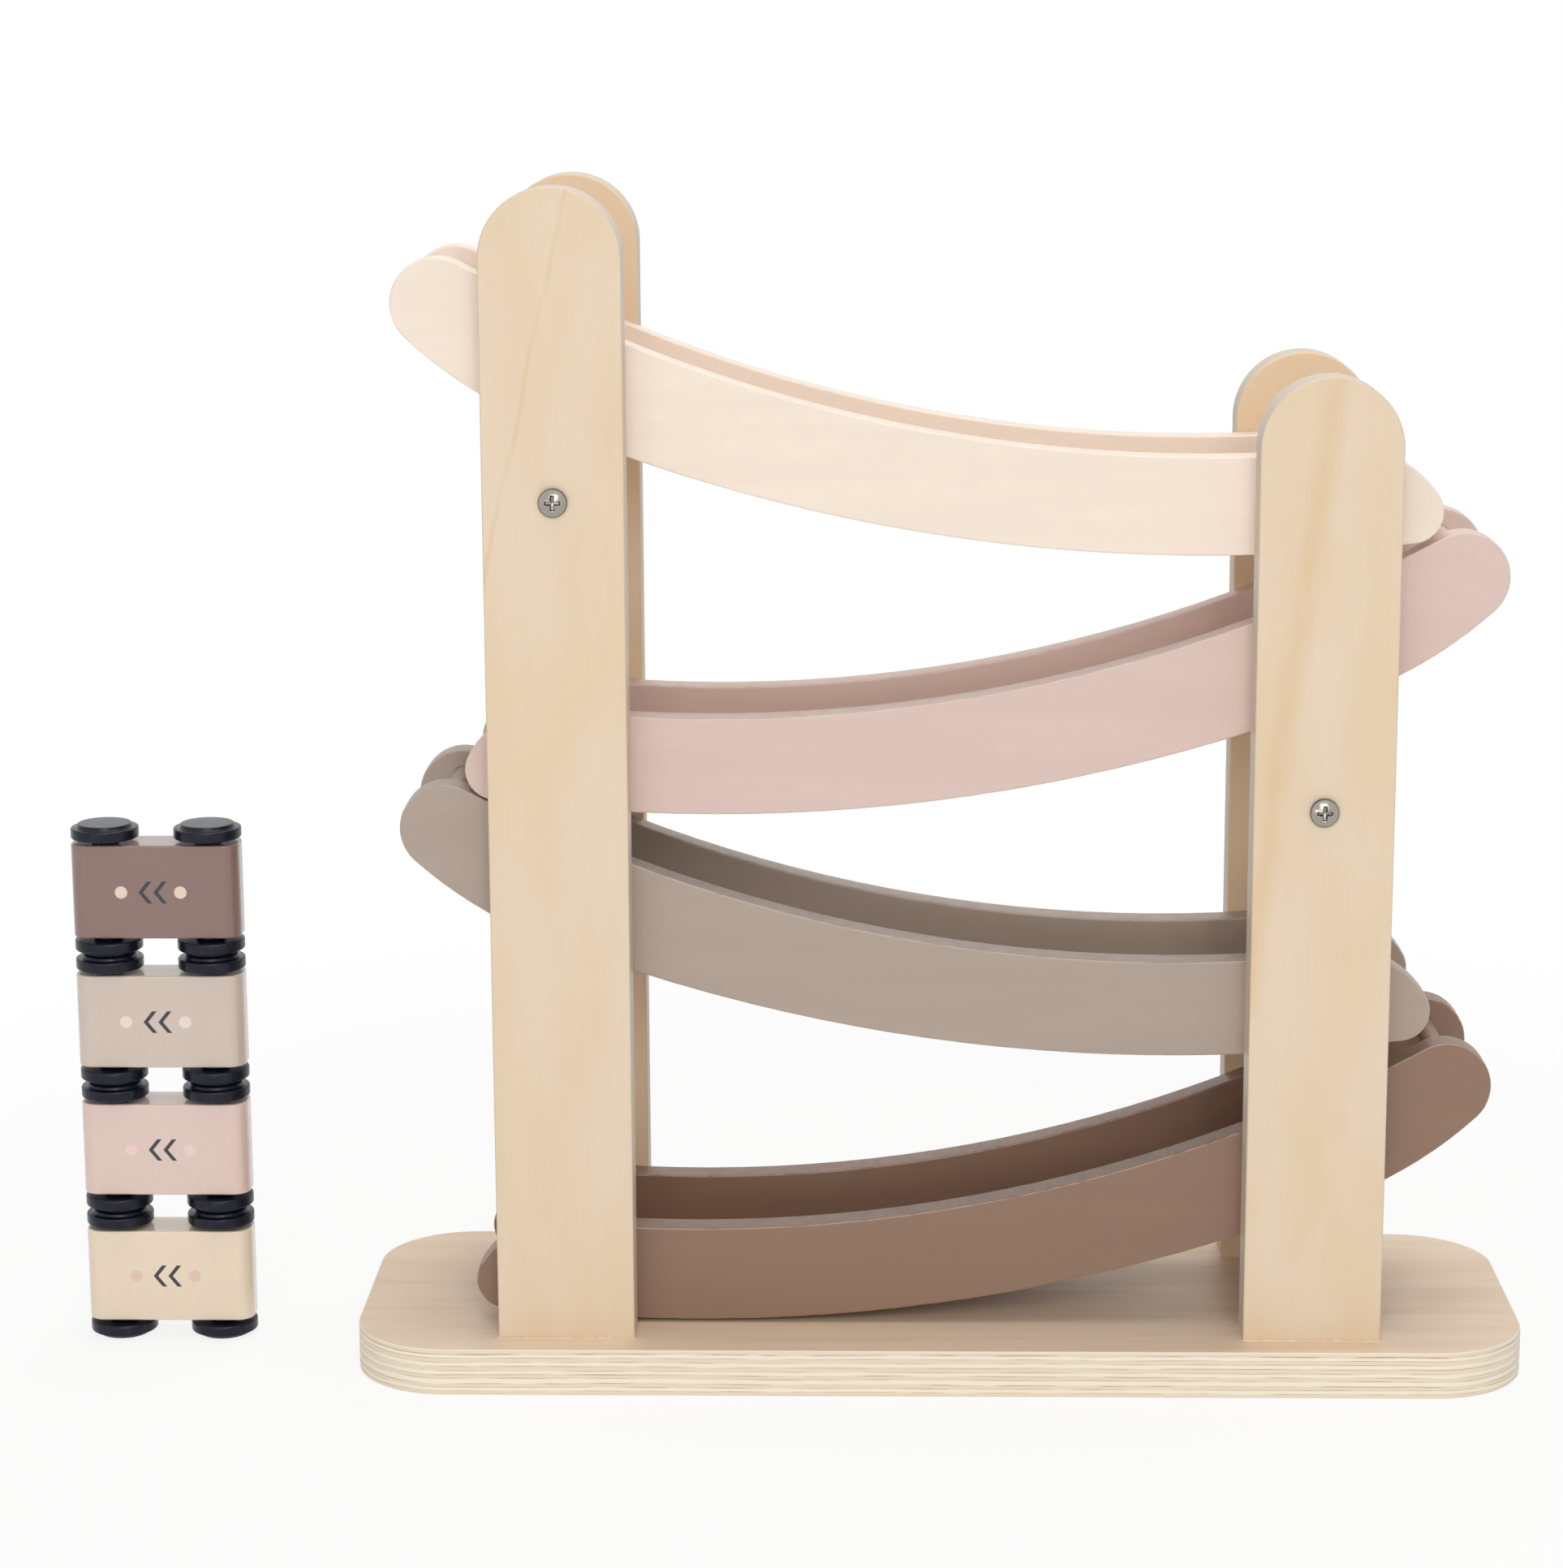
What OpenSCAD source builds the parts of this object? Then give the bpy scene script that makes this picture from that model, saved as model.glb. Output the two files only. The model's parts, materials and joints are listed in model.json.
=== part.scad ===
// Click clack track: two tall and two short posts on a plywood base carry four curved channels, one
// above the other, that start by turns at the left and at the right. Four small cars roll down them
// and tip over into the next channel. The cars stand beside the base, stacked on their sides.
// Millimetres, Z up. The origin is the middle of the underside of the base.

/* [Base board] */
// Length of the base board
base_l = 370; // [340:1:420]
// How far the base board stands out in front of and behind the posts
base_margin = 11; // [5:0.5:30]
// Thickness of the base board
base_t = 15; // [12:0.5:22]
// Radius of the corners of the base board
base_corner_r = 30; // [10:1:40]

/* [Posts] */
// Width of a post, which is also the width of its round top
post_w = 43; // [36:1:54]
// Thickness of a post
post_t = 15; // [12:0.5:18]
// Distance of the posts from the middle of the base
post_x = 117; // [108:1:124]
// Height of the tall posts above the base
tall_h = 359; // [345:1:400]
// Height of the short posts above the base
short_h = 302; // [290:1:340]

/* [Track rails] */
// Thickness of a rail
rail_t = 10; // [9.5:0.5:14]
// Depth of a rail at its lowest point
rail_depth = 30.2; // [29:0.1:32]
// Radius of the top edge of a rail
top_arc_r = 470; // [450:2:500]
// Radius of the bottom edge of a rail
low_arc_r = 532; // [518:2:570]
// Where the top edge is lowest, from the middle of the track towards its lower end
top_low_x = 72.5; // [66:0.5:80]
// Where the bottom edge is lowest, from the middle of the track towards its lower end
bottom_low_x = 72; // [66:0.5:80]
// Reach of the upper end from the middle of the track
upper_reach = 170.5; // [164:0.5:176]
// Reach of the lower end from the middle of the track
lower_reach = 150; // [146:0.5:158]
// Distance of the tracks to the right of the middle of the base
track_shift = 3.1; // [0:0.1:5]
// Radius of the tip at the upper end
tip_r = 14; // [11:0.5:14.5]
// Radius of the sweep under the tip at the upper end
sweep_r = 128; // [100:2:150]
// Radius of the nose at the lower end
nose_r = 9.5; // [7:0.5:10]
// Radius of the drop from the top edge to the nose
nose_drop_r = 30; // [24:1:34]

/* [Gaps under the tracks] */
// Gap between the nose of the cream track and the pink rail below it
cream_gap = 1.8; // [0.5:0.1:6]
// Gap between the nose of the pink track and the taupe rail below it
pink_gap = 0.5; // [0.4:0.1:6]
// Gap between the nose of the taupe track and the brown rail below it
taupe_gap = 5.1; // [0.5:0.1:6]
// Gap between the brown track and the base
brown_gap = 1; // [0.5:0.1:4]

/* [Track slopes, in degrees, by which a track is turned down towards its lower end] */
// Slope of the cream track
cream_slope = 0.8; // [-0.5:0.1:1.5]
// Slope of the pink track
pink_slope = 0; // [-0.5:0.1:1.5]
// Slope of the taupe track
taupe_slope = -0.3; // [-0.5:0.1:1.5]
// Slope of the brown track
brown_slope = 0.9; // [-0.5:0.1:1.6]

/* [Track floor and stop] */
// Depth of the channel floor below the top edge of the rails
floor_drop = 20; // [17:0.5:22]
// Thickness of the channel floor
floor_t = 4; // [3:0.5:5]
// Depth of the groove in a rail that holds the floor
groove_depth = 3; // [2:0.5:3.5]
// Length of the opening at the lower end, through which a car drops
drop_gap = 44; // [36:1:56]
// Distance of the floor's upper end from the tip of the track
floor_inset = 22; // [20:1:30]
// Diameter of the stop dowel across the upper end
stop_d = 6; // [5:0.5:8]
// Depth of the stop dowel's middle below the top edge
stop_depth = 9; // [6:0.5:12]
// Depth of the stop dowel's seat in a rail
stop_seat = 7.5; // [4:0.5:8.5]

/* [Pegs, stretchers and screws] */
// Diameter of the pegs that join rails and posts
peg_d = 8; // [6:0.5:10]
// Depth of a peg's seat in a rail and in a post
peg_seat = 6; // [4:0.5:6.5]
// Diameter of the stretchers between front and back posts
stretcher_d = 16; // [12:0.5:20]
// Depth of the tall posts' stretcher below the bottom edge of the cream rails
tall_stretcher_drop = 20; // [14:0.5:40]
// Depth of the short posts' stretcher below the bottom edge of the pink rails
short_stretcher_drop = 29.5; // [14:0.5:45]
// Diameter of the shank of all screws
screw_d = 4; // [3:0.5:5]
// Diameter of the pan head of a stretcher screw
pan_d = 8.8; // [7:0.2:11]
// Height of the pan head
pan_h = 2.8; // [2:0.1:3.5]
// Radius of the dome of the pan head
pan_dome_r = 8.8; // [7:0.2:14]
// Length of the cross recess in the pan head
recess_l = 4.8; // [3:0.1:6]
// Width of the cross recess
recess_w = 1.2; // [0.6:0.1:1.6]
// Depth of the cross recess
recess_depth = 1.4; // [0.6:0.1:1.8]
// How far a screw goes into the wood that it holds
screw_grip = 20; // [12:1:26]
// Distance between the two screws under a post
foot_screw_pitch = 22; // [16:1:28]
// Diameter of the countersunk head of a foot screw
foot_head_d = 8; // [7:0.2:10]
// Depth of a foot screw's head inside the base
foot_head_sink = 0.8; // [0.4:0.1:2]

/* [Cars] */
// Length of a car body
car_l = 54; // [50:0.5:64]
// Width of a car body
car_w = 30.5; // [27:0.5:36]
// Thickness of a car body
car_t = 15.5; // [13:0.5:18]
// Radius of the four long edges at the ends of a car body
car_edge_r = 5.5; // [3:0.5:6]
// Distance between the axles
wheelbase = 33; // [30:0.5:36]
// Diameter of an axle
axle_d = 3; // [2.5:0.1:4]
// Diameter of the tread
wheel_d = 21.6; // [20:0.2:24]
// Width of the tread
tread_w = 3.5; // [3:0.1:4.5]
// Diameter of the hub cap on the outside of a wheel
cap_d = 17.4; // [13:0.2:18.5]
// Height of the hub cap
cap_h = 1.2; // [0.8:0.1:2]
// Diameter of the boss on the inside of a wheel
boss_d = 9.2; // [7:0.2:12]
// Height of the boss
boss_h = 1.1; // [0.6:0.1:2]
// Place of the stack of cars, from the middle of the base to the left
stack_left = 250; // [240:1:300]
// Place of the stack of cars, from the middle of the base to the back
stack_back = 0; // [-100:1:120]

/* [Clearances] */
// Room beside a car in its channel, on each side
side_play = 1.25; // [0.8:0.05:4]
// Glue gap round a peg, a dowel and the edge of a floor
glue_gap = 0.1; // [0.05:0.01:0.2]
// Room round a screw in the hole that it passes
screw_play = 0.3; // [0.1:0.05:0.5]
// Running clearance of a wheel on its axle, on the radius
axle_play = 0.05; // [0.02:0.01:0.1]
// End play of a wheel against the body
wheel_play = 0.2; // [0.1:0.05:0.5]
// Gap between the hub caps of stacked cars
stack_gap = 0.3; // [0.2:0.05:1]

/* [Hidden] */
$fn = 96;
// Facets of the long arcs, so that they stay smooth on screen
long_fn = 900;
// How far a cutter runs past the face that it cuts
cut = 1;
// Radius of the soft edges of a wheel
wheel_edge_r = 0.7;
// Radius of the soft edge of a hub cap
cap_edge_r = 0.5;
// How far the wedge of a round cut reaches, in radii of its circle
wedge_reach = 3;
// Angle by which the wedge of a wide round cut laps over the narrow one beside it
wedge_lap = 2;
// How far a round cut stands out past the arc it meets, so that the two cross in plain points
arc_lap = 0.01;

TRACKS = ["cream", "pink", "taupe", "brown"];
TRACK_GAP = [cream_gap, pink_gap, taupe_gap, brown_gap];
TRACK_SLOPE = [cream_slope, pink_slope, taupe_slope, brown_slope];
TRACK_COLORS = ["#f5e2d6", "#dcc1b6", "#b0a092", "#8e7363"];
// 1 for a track that starts at the left, -1 for one that starts at the right
TRACK_SIDE = [1, -1, 1, -1];
CARS = ["brown", "taupe", "pink", "cream"];
CAR_COLORS = ["#886c63", "#d2c2b4", "#e2c8bc", "#eedbc2"];
WOOD = "#e6d2b4";
PLY = "#ead6ba";
BEECH = "#dcc09a";
STEEL = "#c4c4c2";
NAVY = "#1c202c";

// Widths across the toy, worked out from the car that runs in the channel
car_over = car_w + 2 * (wheel_play + boss_h + tread_w + cap_h);
channel_w = car_over + 2 * side_play;
track_w = channel_w + 2 * rail_t;
base_d = track_w + 2 * post_t + 2 * base_margin;
post_mid_y = (track_w + post_t) / 2;

// Centres of the arcs of a rail, in the plane of the track: along the track, then up
top_c = [top_low_x, top_arc_r];
low_c = [bottom_low_x, low_arc_r - rail_depth];
tip_c = on_arc(top_c, top_arc_r + tip_r, -upper_reach + tip_r);
sweep_c = meet(tip_c, sweep_r - tip_r, low_c, low_arc_r - sweep_r, 1);
nose_c = on_arc(low_c, low_arc_r - nose_r, lower_reach - nose_r);
drop_c = meet(nose_c, nose_drop_r - nose_r, top_c, top_arc_r + nose_drop_r, -1);
stop_c = on_arc(top_c, top_arc_r + stop_depth, -upper_reach + tip_r);

// Heights of the stretchers above the base, under the cream and the pink rails
tall_stretcher_h = under_rail(0, -1) - tall_stretcher_drop;
short_stretcher_h = under_rail(1, 1) - short_stretcher_drop;

// Point of the lower half of a circle that lies at a given distance along the track
function on_arc(c, r, u) = [u, c[1] - sqrt(r * r - (u - c[0]) * (u - c[0]))];

// Point at distance ra from a and rb from b, on the side of the larger (1) or smaller (-1) x
function meet(a, ra, b, rb, side) =
    let(d = norm(b - a))
    let(e = (b - a) / d)
    let(along = (ra * ra + d * d - rb * rb) / (2 * d))
    let(across = sqrt(ra * ra - along * along))
    a + along * e + side * across * [e[1], -e[0]];

// Direction from one point to another, from 0 to 360 degrees
function heading(a, b) =
    let(v = b - a)
    (atan2(v[1], v[0]) + 360) % 360;

// Place along a track of the post at the left (-1) or the right (1)
function post_u(i, side) = TRACK_SIDE[i] * (side * post_x - track_shift);

// A point of the plane of a track, turned by the slope of track i
function turned(i, p) =
    let(a = TRACK_SLOPE[i])
    [p[0] * cos(a) + p[1] * sin(a), p[1] * cos(a) - p[0] * sin(a)];

// Height of track i above the base: its nose clears the rail of the track below, the last one the base
function rise(i) =
    i == len(TRACKS) - 1 ? TRACK_GAP[i] + low_arc_r - turned(i, low_c)[1]
    : let(nose = turned(i, nose_c))
      let(below = turned(i + 1, top_c))
      let(reach = top_arc_r - nose_r - TRACK_GAP[i])
      let(across = nose[0] + below[0])
      rise(i + 1) + below[1] - nose[1] - sqrt(reach * reach - across * across);

// Height above the base of the bottom edge of track i at the posts on one side
function under_rail(i, side) = rise(i) + turned(i, on_arc(low_c, low_arc_r, post_u(i, side)))[1];

// Middle of the rail's depth at a place along the track
function rail_mid(u) = (on_arc(top_c, top_arc_r, u)[1] + on_arc(low_c, low_arc_r, u)[1]) / 2;

// Place of the peg that joins track i to the posts at one side: from the left to the right, then up
function peg_at(i, side) =
    let(u = post_u(i, side))
    let(p = turned(i, [u, rail_mid(u)]))
    [track_shift + TRACK_SIDE[i] * p[0], base_t + rise(i) + p[1]];

// Height of the middle of car k in the stack, the first car on top
function car_z(k) = car_over / 2 + (len(CARS) - 1 - k) * (car_over + stack_gap);

// A cylinder that lies along Y, from its start towards the back
module bar(d, l) {
    rotate([-90, 0, 0]) cylinder(d = d, h = l);
}

// Mirrors what follows to the back where side is 1
module to_side(side) {
    if (side < 0) children();
    else mirror([0, 1, 0]) children();
}

// Puts what is drawn along a track at the height, on the side and at the slope of track i
module in_track(i) {
    translate([track_shift, 0, base_t + rise(i)])
        if (TRACK_SIDE[i] > 0) rotate([0, TRACK_SLOPE[i], 0]) children();
        else mirror([1, 0, 0]) rotate([0, TRACK_SLOPE[i], 0]) children();
}

// A rectangle with round corners about the middle
module round_plate(l, w, r) {
    square([l - 2 * r, w], center = true);
    square([l, w - 2 * r], center = true);
    for (x = [-1, 1], y = [-1, 1])
        translate([x * (l / 2 - r), y * (w / 2 - r)]) circle(r = r);
}

// What lies outside a circle, between two directions
module round_cut(c, r, from, to) {
    reach = wedge_reach * r;
    mid = (from + to) / 2;
    difference() {
        polygon([
            c,
            c + reach * [cos(from), sin(from)],
            c + 2 * reach * [cos(mid), sin(mid)],
            c + reach * [cos(to), sin(to)]
        ]);
        translate(c) circle(r = r, $fn = long_fn);
    }
}

// Side view of a rail that starts at the left: two arcs, a round tip above and a dropped nose below
module rail_outline() {
    top_z = on_arc(top_c, top_arc_r, -upper_reach)[1];
    difference() {
        intersection() {
            translate(low_c) circle(r = low_arc_r, $fn = long_fn);
            translate([-upper_reach - cut, -rail_depth - cut])
                square([upper_reach + lower_reach + 2 * cut, rail_depth + top_z + 2 * cut]);
        }
        translate(top_c) circle(r = top_arc_r, $fn = long_fn);
        round_cut(tip_c, tip_r + 2 * arc_lap, heading(tip_c, top_c), heading(sweep_c, tip_c));
        round_cut(sweep_c, sweep_r + arc_lap, heading(sweep_c, tip_c) - wedge_lap, heading(low_c, sweep_c));
        round_cut(nose_c, nose_r + 2 * arc_lap, heading(low_c, nose_c) - 360, heading(drop_c, nose_c));
        round_cut(drop_c, nose_drop_r + arc_lap, heading(drop_c, nose_c) - wedge_lap, heading(drop_c, top_c));
    }
}

// Side view of the channel floor, with a gap all round for its groove
module floor_outline(gap) {
    start = -upper_reach + floor_inset - gap;
    end = lower_reach - drop_gap + gap;
    top_z = on_arc(top_c, top_arc_r, start)[1];
    intersection() {
        difference() {
            translate(top_c) circle(r = top_arc_r + floor_drop + floor_t + gap, $fn = long_fn);
            translate(top_c) circle(r = top_arc_r + floor_drop - gap, $fn = long_fn);
        }
        translate([start, -rail_depth]) square([end - start, rail_depth + top_z]);
    }
}

// A plate of the side view, from y to the front
module side_plate(y, t) {
    translate([0, y, 0]) rotate([90, 0, 0]) linear_extrude(t) children();
}

module base_board() {
    color(PLY) difference() {
        linear_extrude(base_t) round_plate(base_l, base_d, base_corner_r);
        foot_places() {
            translate([0, 0, -cut]) cylinder(d = screw_d + 2 * screw_play, h = base_t + 2 * cut);
            translate([0, 0, -cut]) cylinder(d = foot_head_d + 2 * screw_play, h = foot_head_sink + cut);
            translate([0, 0, foot_head_sink]) foot_head_cone(screw_play);
        }
    }
}

// The cone under a foot screw's head, widened by a play
module foot_head_cone(play) {
    cone_h = (foot_head_d - screw_d) / 2;
    cylinder(d1 = foot_head_d + 2 * play, d2 = screw_d + 2 * play, h = cone_h);
}

// The places of the screws under the four posts
module foot_places() {
    for (x = [-1, 1], y = [-1, 1], s = [-1, 1])
        translate([x * post_x + s * foot_screw_pitch / 2, y * post_mid_y, 0]) children();
}

module foot_screws() {
    color(STEEL) foot_places() translate([0, 0, foot_head_sink]) {
        foot_head_cone(0);
        cylinder(d = screw_d, h = base_t - foot_head_sink + screw_grip);
    }
}

// A front post at the left (-1) or the right (1), with a round top
module post(side, h, stretcher_h) {
    color(WOOD) difference() {
        side_plate(-track_w / 2, post_t) translate([side * post_x, base_t]) {
            translate([-post_w / 2, 0]) square([post_w, h - post_w / 2]);
            translate([0, h - post_w / 2]) circle(d = post_w);
        }
        for (i = [0 : len(TRACKS) - 1])
            translate([peg_at(i, side)[0], -track_w / 2 - peg_seat - glue_gap, peg_at(i, side)[1]])
                bar(peg_d + 2 * glue_gap, peg_seat + glue_gap + cut);
        translate([side * post_x, -track_w / 2 - post_t - cut, base_t + stretcher_h])
            bar(screw_d + 2 * screw_play, post_t + 2 * cut);
        for (s = [-1, 1])
            translate([side * post_x + s * foot_screw_pitch / 2, -post_mid_y, base_t - cut])
                cylinder(d = screw_d + 2 * glue_gap, h = cut + screw_grip + glue_gap);
    }
}

module tall_post(side) {
    to_side(side) post(-1, tall_h, tall_stretcher_h);
}

module short_post(side) {
    to_side(side) post(1, short_h, short_stretcher_h);
}

// A round bar between a front and a back post, drilled at both ends for its screws
module stretcher(side, h) {
    color(BEECH) translate([side * post_x, 0, base_t + h]) difference() {
        translate([0, -track_w / 2, 0]) bar(stretcher_d, track_w);
        for (s = [-1, 1])
            to_side(s) translate([0, -track_w / 2 - cut, 0])
                bar(screw_d + 2 * glue_gap, screw_grip + glue_gap + cut);
    }
}

module tall_stretcher() {
    stretcher(-1, tall_stretcher_h);
}

module short_stretcher() {
    stretcher(1, short_stretcher_h);
}

// A pan head screw along Y, its head towards the front and the underside of the head at 0
module pan_screw() {
    bar(screw_d, post_t + screw_grip);
    rotate([90, 0, 0]) difference() {
        rotate_extrude() intersection() {
            translate([0, pan_h - pan_dome_r]) circle(r = pan_dome_r);
            square([pan_d / 2, pan_h]);
        }
        for (a = [0, 90])
            rotate([0, 0, a]) translate([-recess_l / 2, -recess_w / 2, pan_h - recess_depth])
                cube([recess_l, recess_w, recess_depth + cut]);
    }
}

module stretcher_screws() {
    color(STEEL) for (side = [-1, 1]) to_side(side) {
        translate([-post_x, -track_w / 2 - post_t, base_t + tall_stretcher_h]) pan_screw();
        translate([post_x, -track_w / 2 - post_t, base_t + short_stretcher_h]) pan_screw();
    }
}

module rail_pegs() {
    color(BEECH) for (i = [0 : len(TRACKS) - 1], side = [-1, 1], face = [-1, 1])
        to_side(face) translate([peg_at(i, side)[0], -track_w / 2 - peg_seat, peg_at(i, side)[1]])
            bar(peg_d, 2 * peg_seat);
}

// A front rail, with seats for its pegs, its stop dowel and the channel floor
module rail(i) {
    color(TRACK_COLORS[i]) in_track(i) difference() {
        side_plate(-channel_w / 2, rail_t) rail_outline();
        side_plate(-channel_w / 2 + cut, groove_depth + cut) floor_outline(glue_gap);
        for (side = [-1, 1])
            translate([post_u(i, side), -track_w / 2 - cut, rail_mid(post_u(i, side))])
                bar(peg_d + 2 * glue_gap, peg_seat + glue_gap + cut);
        translate([stop_c[0], -channel_w / 2 - stop_seat, stop_c[1]])
            bar(stop_d + 2 * glue_gap, stop_seat + cut);
    }
}

module front_rail(i) {
    rail(i);
}

module back_rail(i) {
    mirror([0, 1, 0]) rail(i);
}

module track_floor(i) {
    floor_w = channel_w + 2 * (groove_depth - glue_gap);
    color(TRACK_COLORS[i]) in_track(i) side_plate(floor_w / 2, floor_w) floor_outline(0);
}

module stop_dowel(i) {
    dowel_l = channel_w + 2 * (stop_seat - glue_gap);
    color(TRACK_COLORS[i]) in_track(i)
        translate([stop_c[0], -dowel_l / 2, stop_c[1]]) bar(stop_d, dowel_l);
}

// Puts what is drawn about a car's middle at its place in the stack: roof to the front, nose to the left
module in_stack(k) {
    translate([-stack_left, stack_back, car_z(k)]) children();
}

module car_body(k) {
    color(CAR_COLORS[k]) in_stack(k) difference() {
        translate([0, 0, -car_w / 2]) linear_extrude(car_w) round_plate(car_l, car_t, car_edge_r);
        for (end = [-1, 1])
            translate([end * wheelbase / 2, 0, -car_w / 2 - cut]) cylinder(d = axle_d, h = car_w + 2 * cut);
    }
}

// An axle reaches into the bosses of its two wheels
module car_axle(k, end) {
    axle_l = car_w + 2 * (boss_h + tread_w);
    color(STEEL) in_stack(k)
        translate([end * wheelbase / 2, 0, -axle_l / 2]) cylinder(d = axle_d, h = axle_l);
}

// A disc with soft edges
module soft_disc(d, h, r) {
    rotate_extrude() {
        square([d / 2 - r, h]);
        translate([0, r]) square([d / 2, h - 2 * r]);
        for (z = [r, h - r]) translate([d / 2 - r, z]) circle(r = r);
    }
}

// A wheel on the upper side of a lying car: boss, tread and hub cap, bored from the inside
module wheel() {
    difference() {
        union() {
            cylinder(d = boss_d, h = boss_h + cap_edge_r);
            translate([0, 0, boss_h]) soft_disc(wheel_d, tread_w, wheel_edge_r);
            translate([0, 0, boss_h + tread_w - 2 * cap_edge_r])
                soft_disc(cap_d, cap_h + 2 * cap_edge_r, cap_edge_r);
        }
        translate([0, 0, -cut]) cylinder(d = axle_d + 2 * axle_play, h = cut + boss_h + tread_w);
    }
}

// The wheel at the front (-1) or rear (1) end, on the left, lower side (-1) or the right, upper side (1)
module car_wheel(k, end, side) {
    color(NAVY) in_stack(k) translate([end * wheelbase / 2, 0, side * (car_w / 2 + wheel_play)])
        if (side > 0) wheel();
        else mirror([0, 0, 1]) wheel();
}

base_board();
tall_post(-1);  // front_tall_post
tall_post(1);  // back_tall_post
short_post(-1);  // front_short_post
short_post(1);  // back_short_post
tall_stretcher();
short_stretcher();
stretcher_screws();
foot_screws();
rail_pegs();

for (i = [0 : len(TRACKS) - 1]) {
    front_rail(i);
    back_rail(i);
    track_floor(i);
    stop_dowel(i);
}

for (k = [0 : len(CARS) - 1]) {
    car_body(k);
    car_axle(k, -1);
    car_axle(k, 1);
    car_wheel(k, -1, -1);
    car_wheel(k, -1, 1);
    car_wheel(k, 1, -1);
    car_wheel(k, 1, 1);
}
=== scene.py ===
# %% [markdown]
# # A click clack track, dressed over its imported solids
# The toy is a ramp: four painted channels between pale birch posts on a plywood base, and four small cars
# that belong to it. The solids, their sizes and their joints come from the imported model. This lesson adds
# what eye and hand notice: rounded edges, grain, plies, paint, worn corners, screws and moulded wheels.

# %% Load the frame
import json
import math

import bmesh
import bpy
from mathutils import Euler, Matrix, Vector

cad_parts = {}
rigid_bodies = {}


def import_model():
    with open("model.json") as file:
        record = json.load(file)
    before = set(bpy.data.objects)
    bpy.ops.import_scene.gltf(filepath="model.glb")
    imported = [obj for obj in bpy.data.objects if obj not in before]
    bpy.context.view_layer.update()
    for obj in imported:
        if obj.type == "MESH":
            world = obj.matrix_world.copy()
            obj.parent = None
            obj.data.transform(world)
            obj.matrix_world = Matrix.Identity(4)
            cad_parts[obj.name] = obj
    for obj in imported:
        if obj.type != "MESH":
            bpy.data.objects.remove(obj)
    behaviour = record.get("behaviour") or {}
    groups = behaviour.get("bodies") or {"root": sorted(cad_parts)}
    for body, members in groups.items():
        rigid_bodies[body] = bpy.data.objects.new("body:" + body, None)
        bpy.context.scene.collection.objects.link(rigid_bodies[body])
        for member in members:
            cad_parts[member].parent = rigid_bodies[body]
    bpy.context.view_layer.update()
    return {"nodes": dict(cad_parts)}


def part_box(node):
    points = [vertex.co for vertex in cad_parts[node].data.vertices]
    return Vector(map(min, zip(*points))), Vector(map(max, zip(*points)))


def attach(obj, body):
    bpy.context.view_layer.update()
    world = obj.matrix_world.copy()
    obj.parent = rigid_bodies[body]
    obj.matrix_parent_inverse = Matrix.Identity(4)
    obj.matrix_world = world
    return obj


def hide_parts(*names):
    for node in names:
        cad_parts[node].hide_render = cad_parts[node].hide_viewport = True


for leftover in list(bpy.data.objects):
    bpy.data.objects.remove(leftover)
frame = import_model()
scene = bpy.context.scene
MM = 0.001
TRACKS = ("cream", "pink", "taupe", "brown")
CARS = ("brown", "taupe", "pink", "cream")
POSTS = ("front_tall_post", "back_tall_post", "front_short_post", "back_short_post")

# %% [markdown]
# ## Camera
# The camera stands a little over a metre in front of the toy and looks slightly down. Its lens and angles
# were worked out from the edges of the base, the posts and the rails, so the picture lines up by itself and
# the sensor needs no shift.

# %% Camera
CAMERA_AT = Vector((-0.01938, -1.19366, 0.43226))
CAMERA_LENS = 88.075
CAMERA_SENSOR = 36
CAMERA_DOWN = math.radians(11.769)
CAMERA_LEFT = math.radians(1.453)
CAMERA_TILT = math.radians(-0.278)

camera = bpy.data.objects.new("camera", bpy.data.cameras.new("camera"))
camera.data.lens = CAMERA_LENS
camera.data.sensor_width = CAMERA_SENSOR
turn = Euler((math.pi / 2 - CAMERA_DOWN, 0, CAMERA_LEFT)).to_matrix()
turn = turn @ Matrix.Rotation(CAMERA_TILT, 3, "Z")
camera.matrix_world = Matrix.Translation(CAMERA_AT) @ turn.to_4x4()
scene.collection.objects.link(camera)
scene.camera = camera
scene.view_settings.view_transform = "Standard"
print("camera at", [round(c, 3) for c in CAMERA_AT])

# %% [markdown]
# ## Helpers for node trees
# Every finish below is a small network of nodes. Wired by hand, each node takes four or five lines. These
# helpers add a node and wire it in one: a socket given as a value is linked, anything else is typed in.

# %% Node helpers
def feed(tree, target, value):
    """Links a socket to target, or types a plain value into it."""
    if isinstance(value, bpy.types.NodeSocket):
        tree.links.new(value, target)
    else:
        target.default_value = value


def put(tree, kind, sockets=None, **settings):
    """Adds a node of that kind with its settings and its inputs."""
    made = tree.nodes.new(kind)
    for name, value in settings.items():
        setattr(made, name, value)
    for key, value in (sockets or {}).items():
        feed(tree, made.inputs[key], value)
    return made


def calc(tree, operation, *values):
    """One step of arithmetic."""
    made = put(tree, "ShaderNodeMath", dict(enumerate(values)), operation=operation)
    return made.outputs[0]


def mix(tree, share, first, second):
    """Two colours mixed by a share from 0 to 1."""
    made = put(tree, "ShaderNodeMix", {0: share}, data_type="RGBA")
    feed(tree, made.inputs[6], first)
    feed(tree, made.inputs[7], second)
    return made.outputs[2]


def ease(tree, value, low, high):
    """0 below low, 1 above high, and a soft step between them."""
    sockets = {"Value": value, "From Min": low, "From Max": high}
    return put(tree, "ShaderNodeMapRange", sockets, interpolation_type="SMOOTHSTEP").outputs[0]


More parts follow.
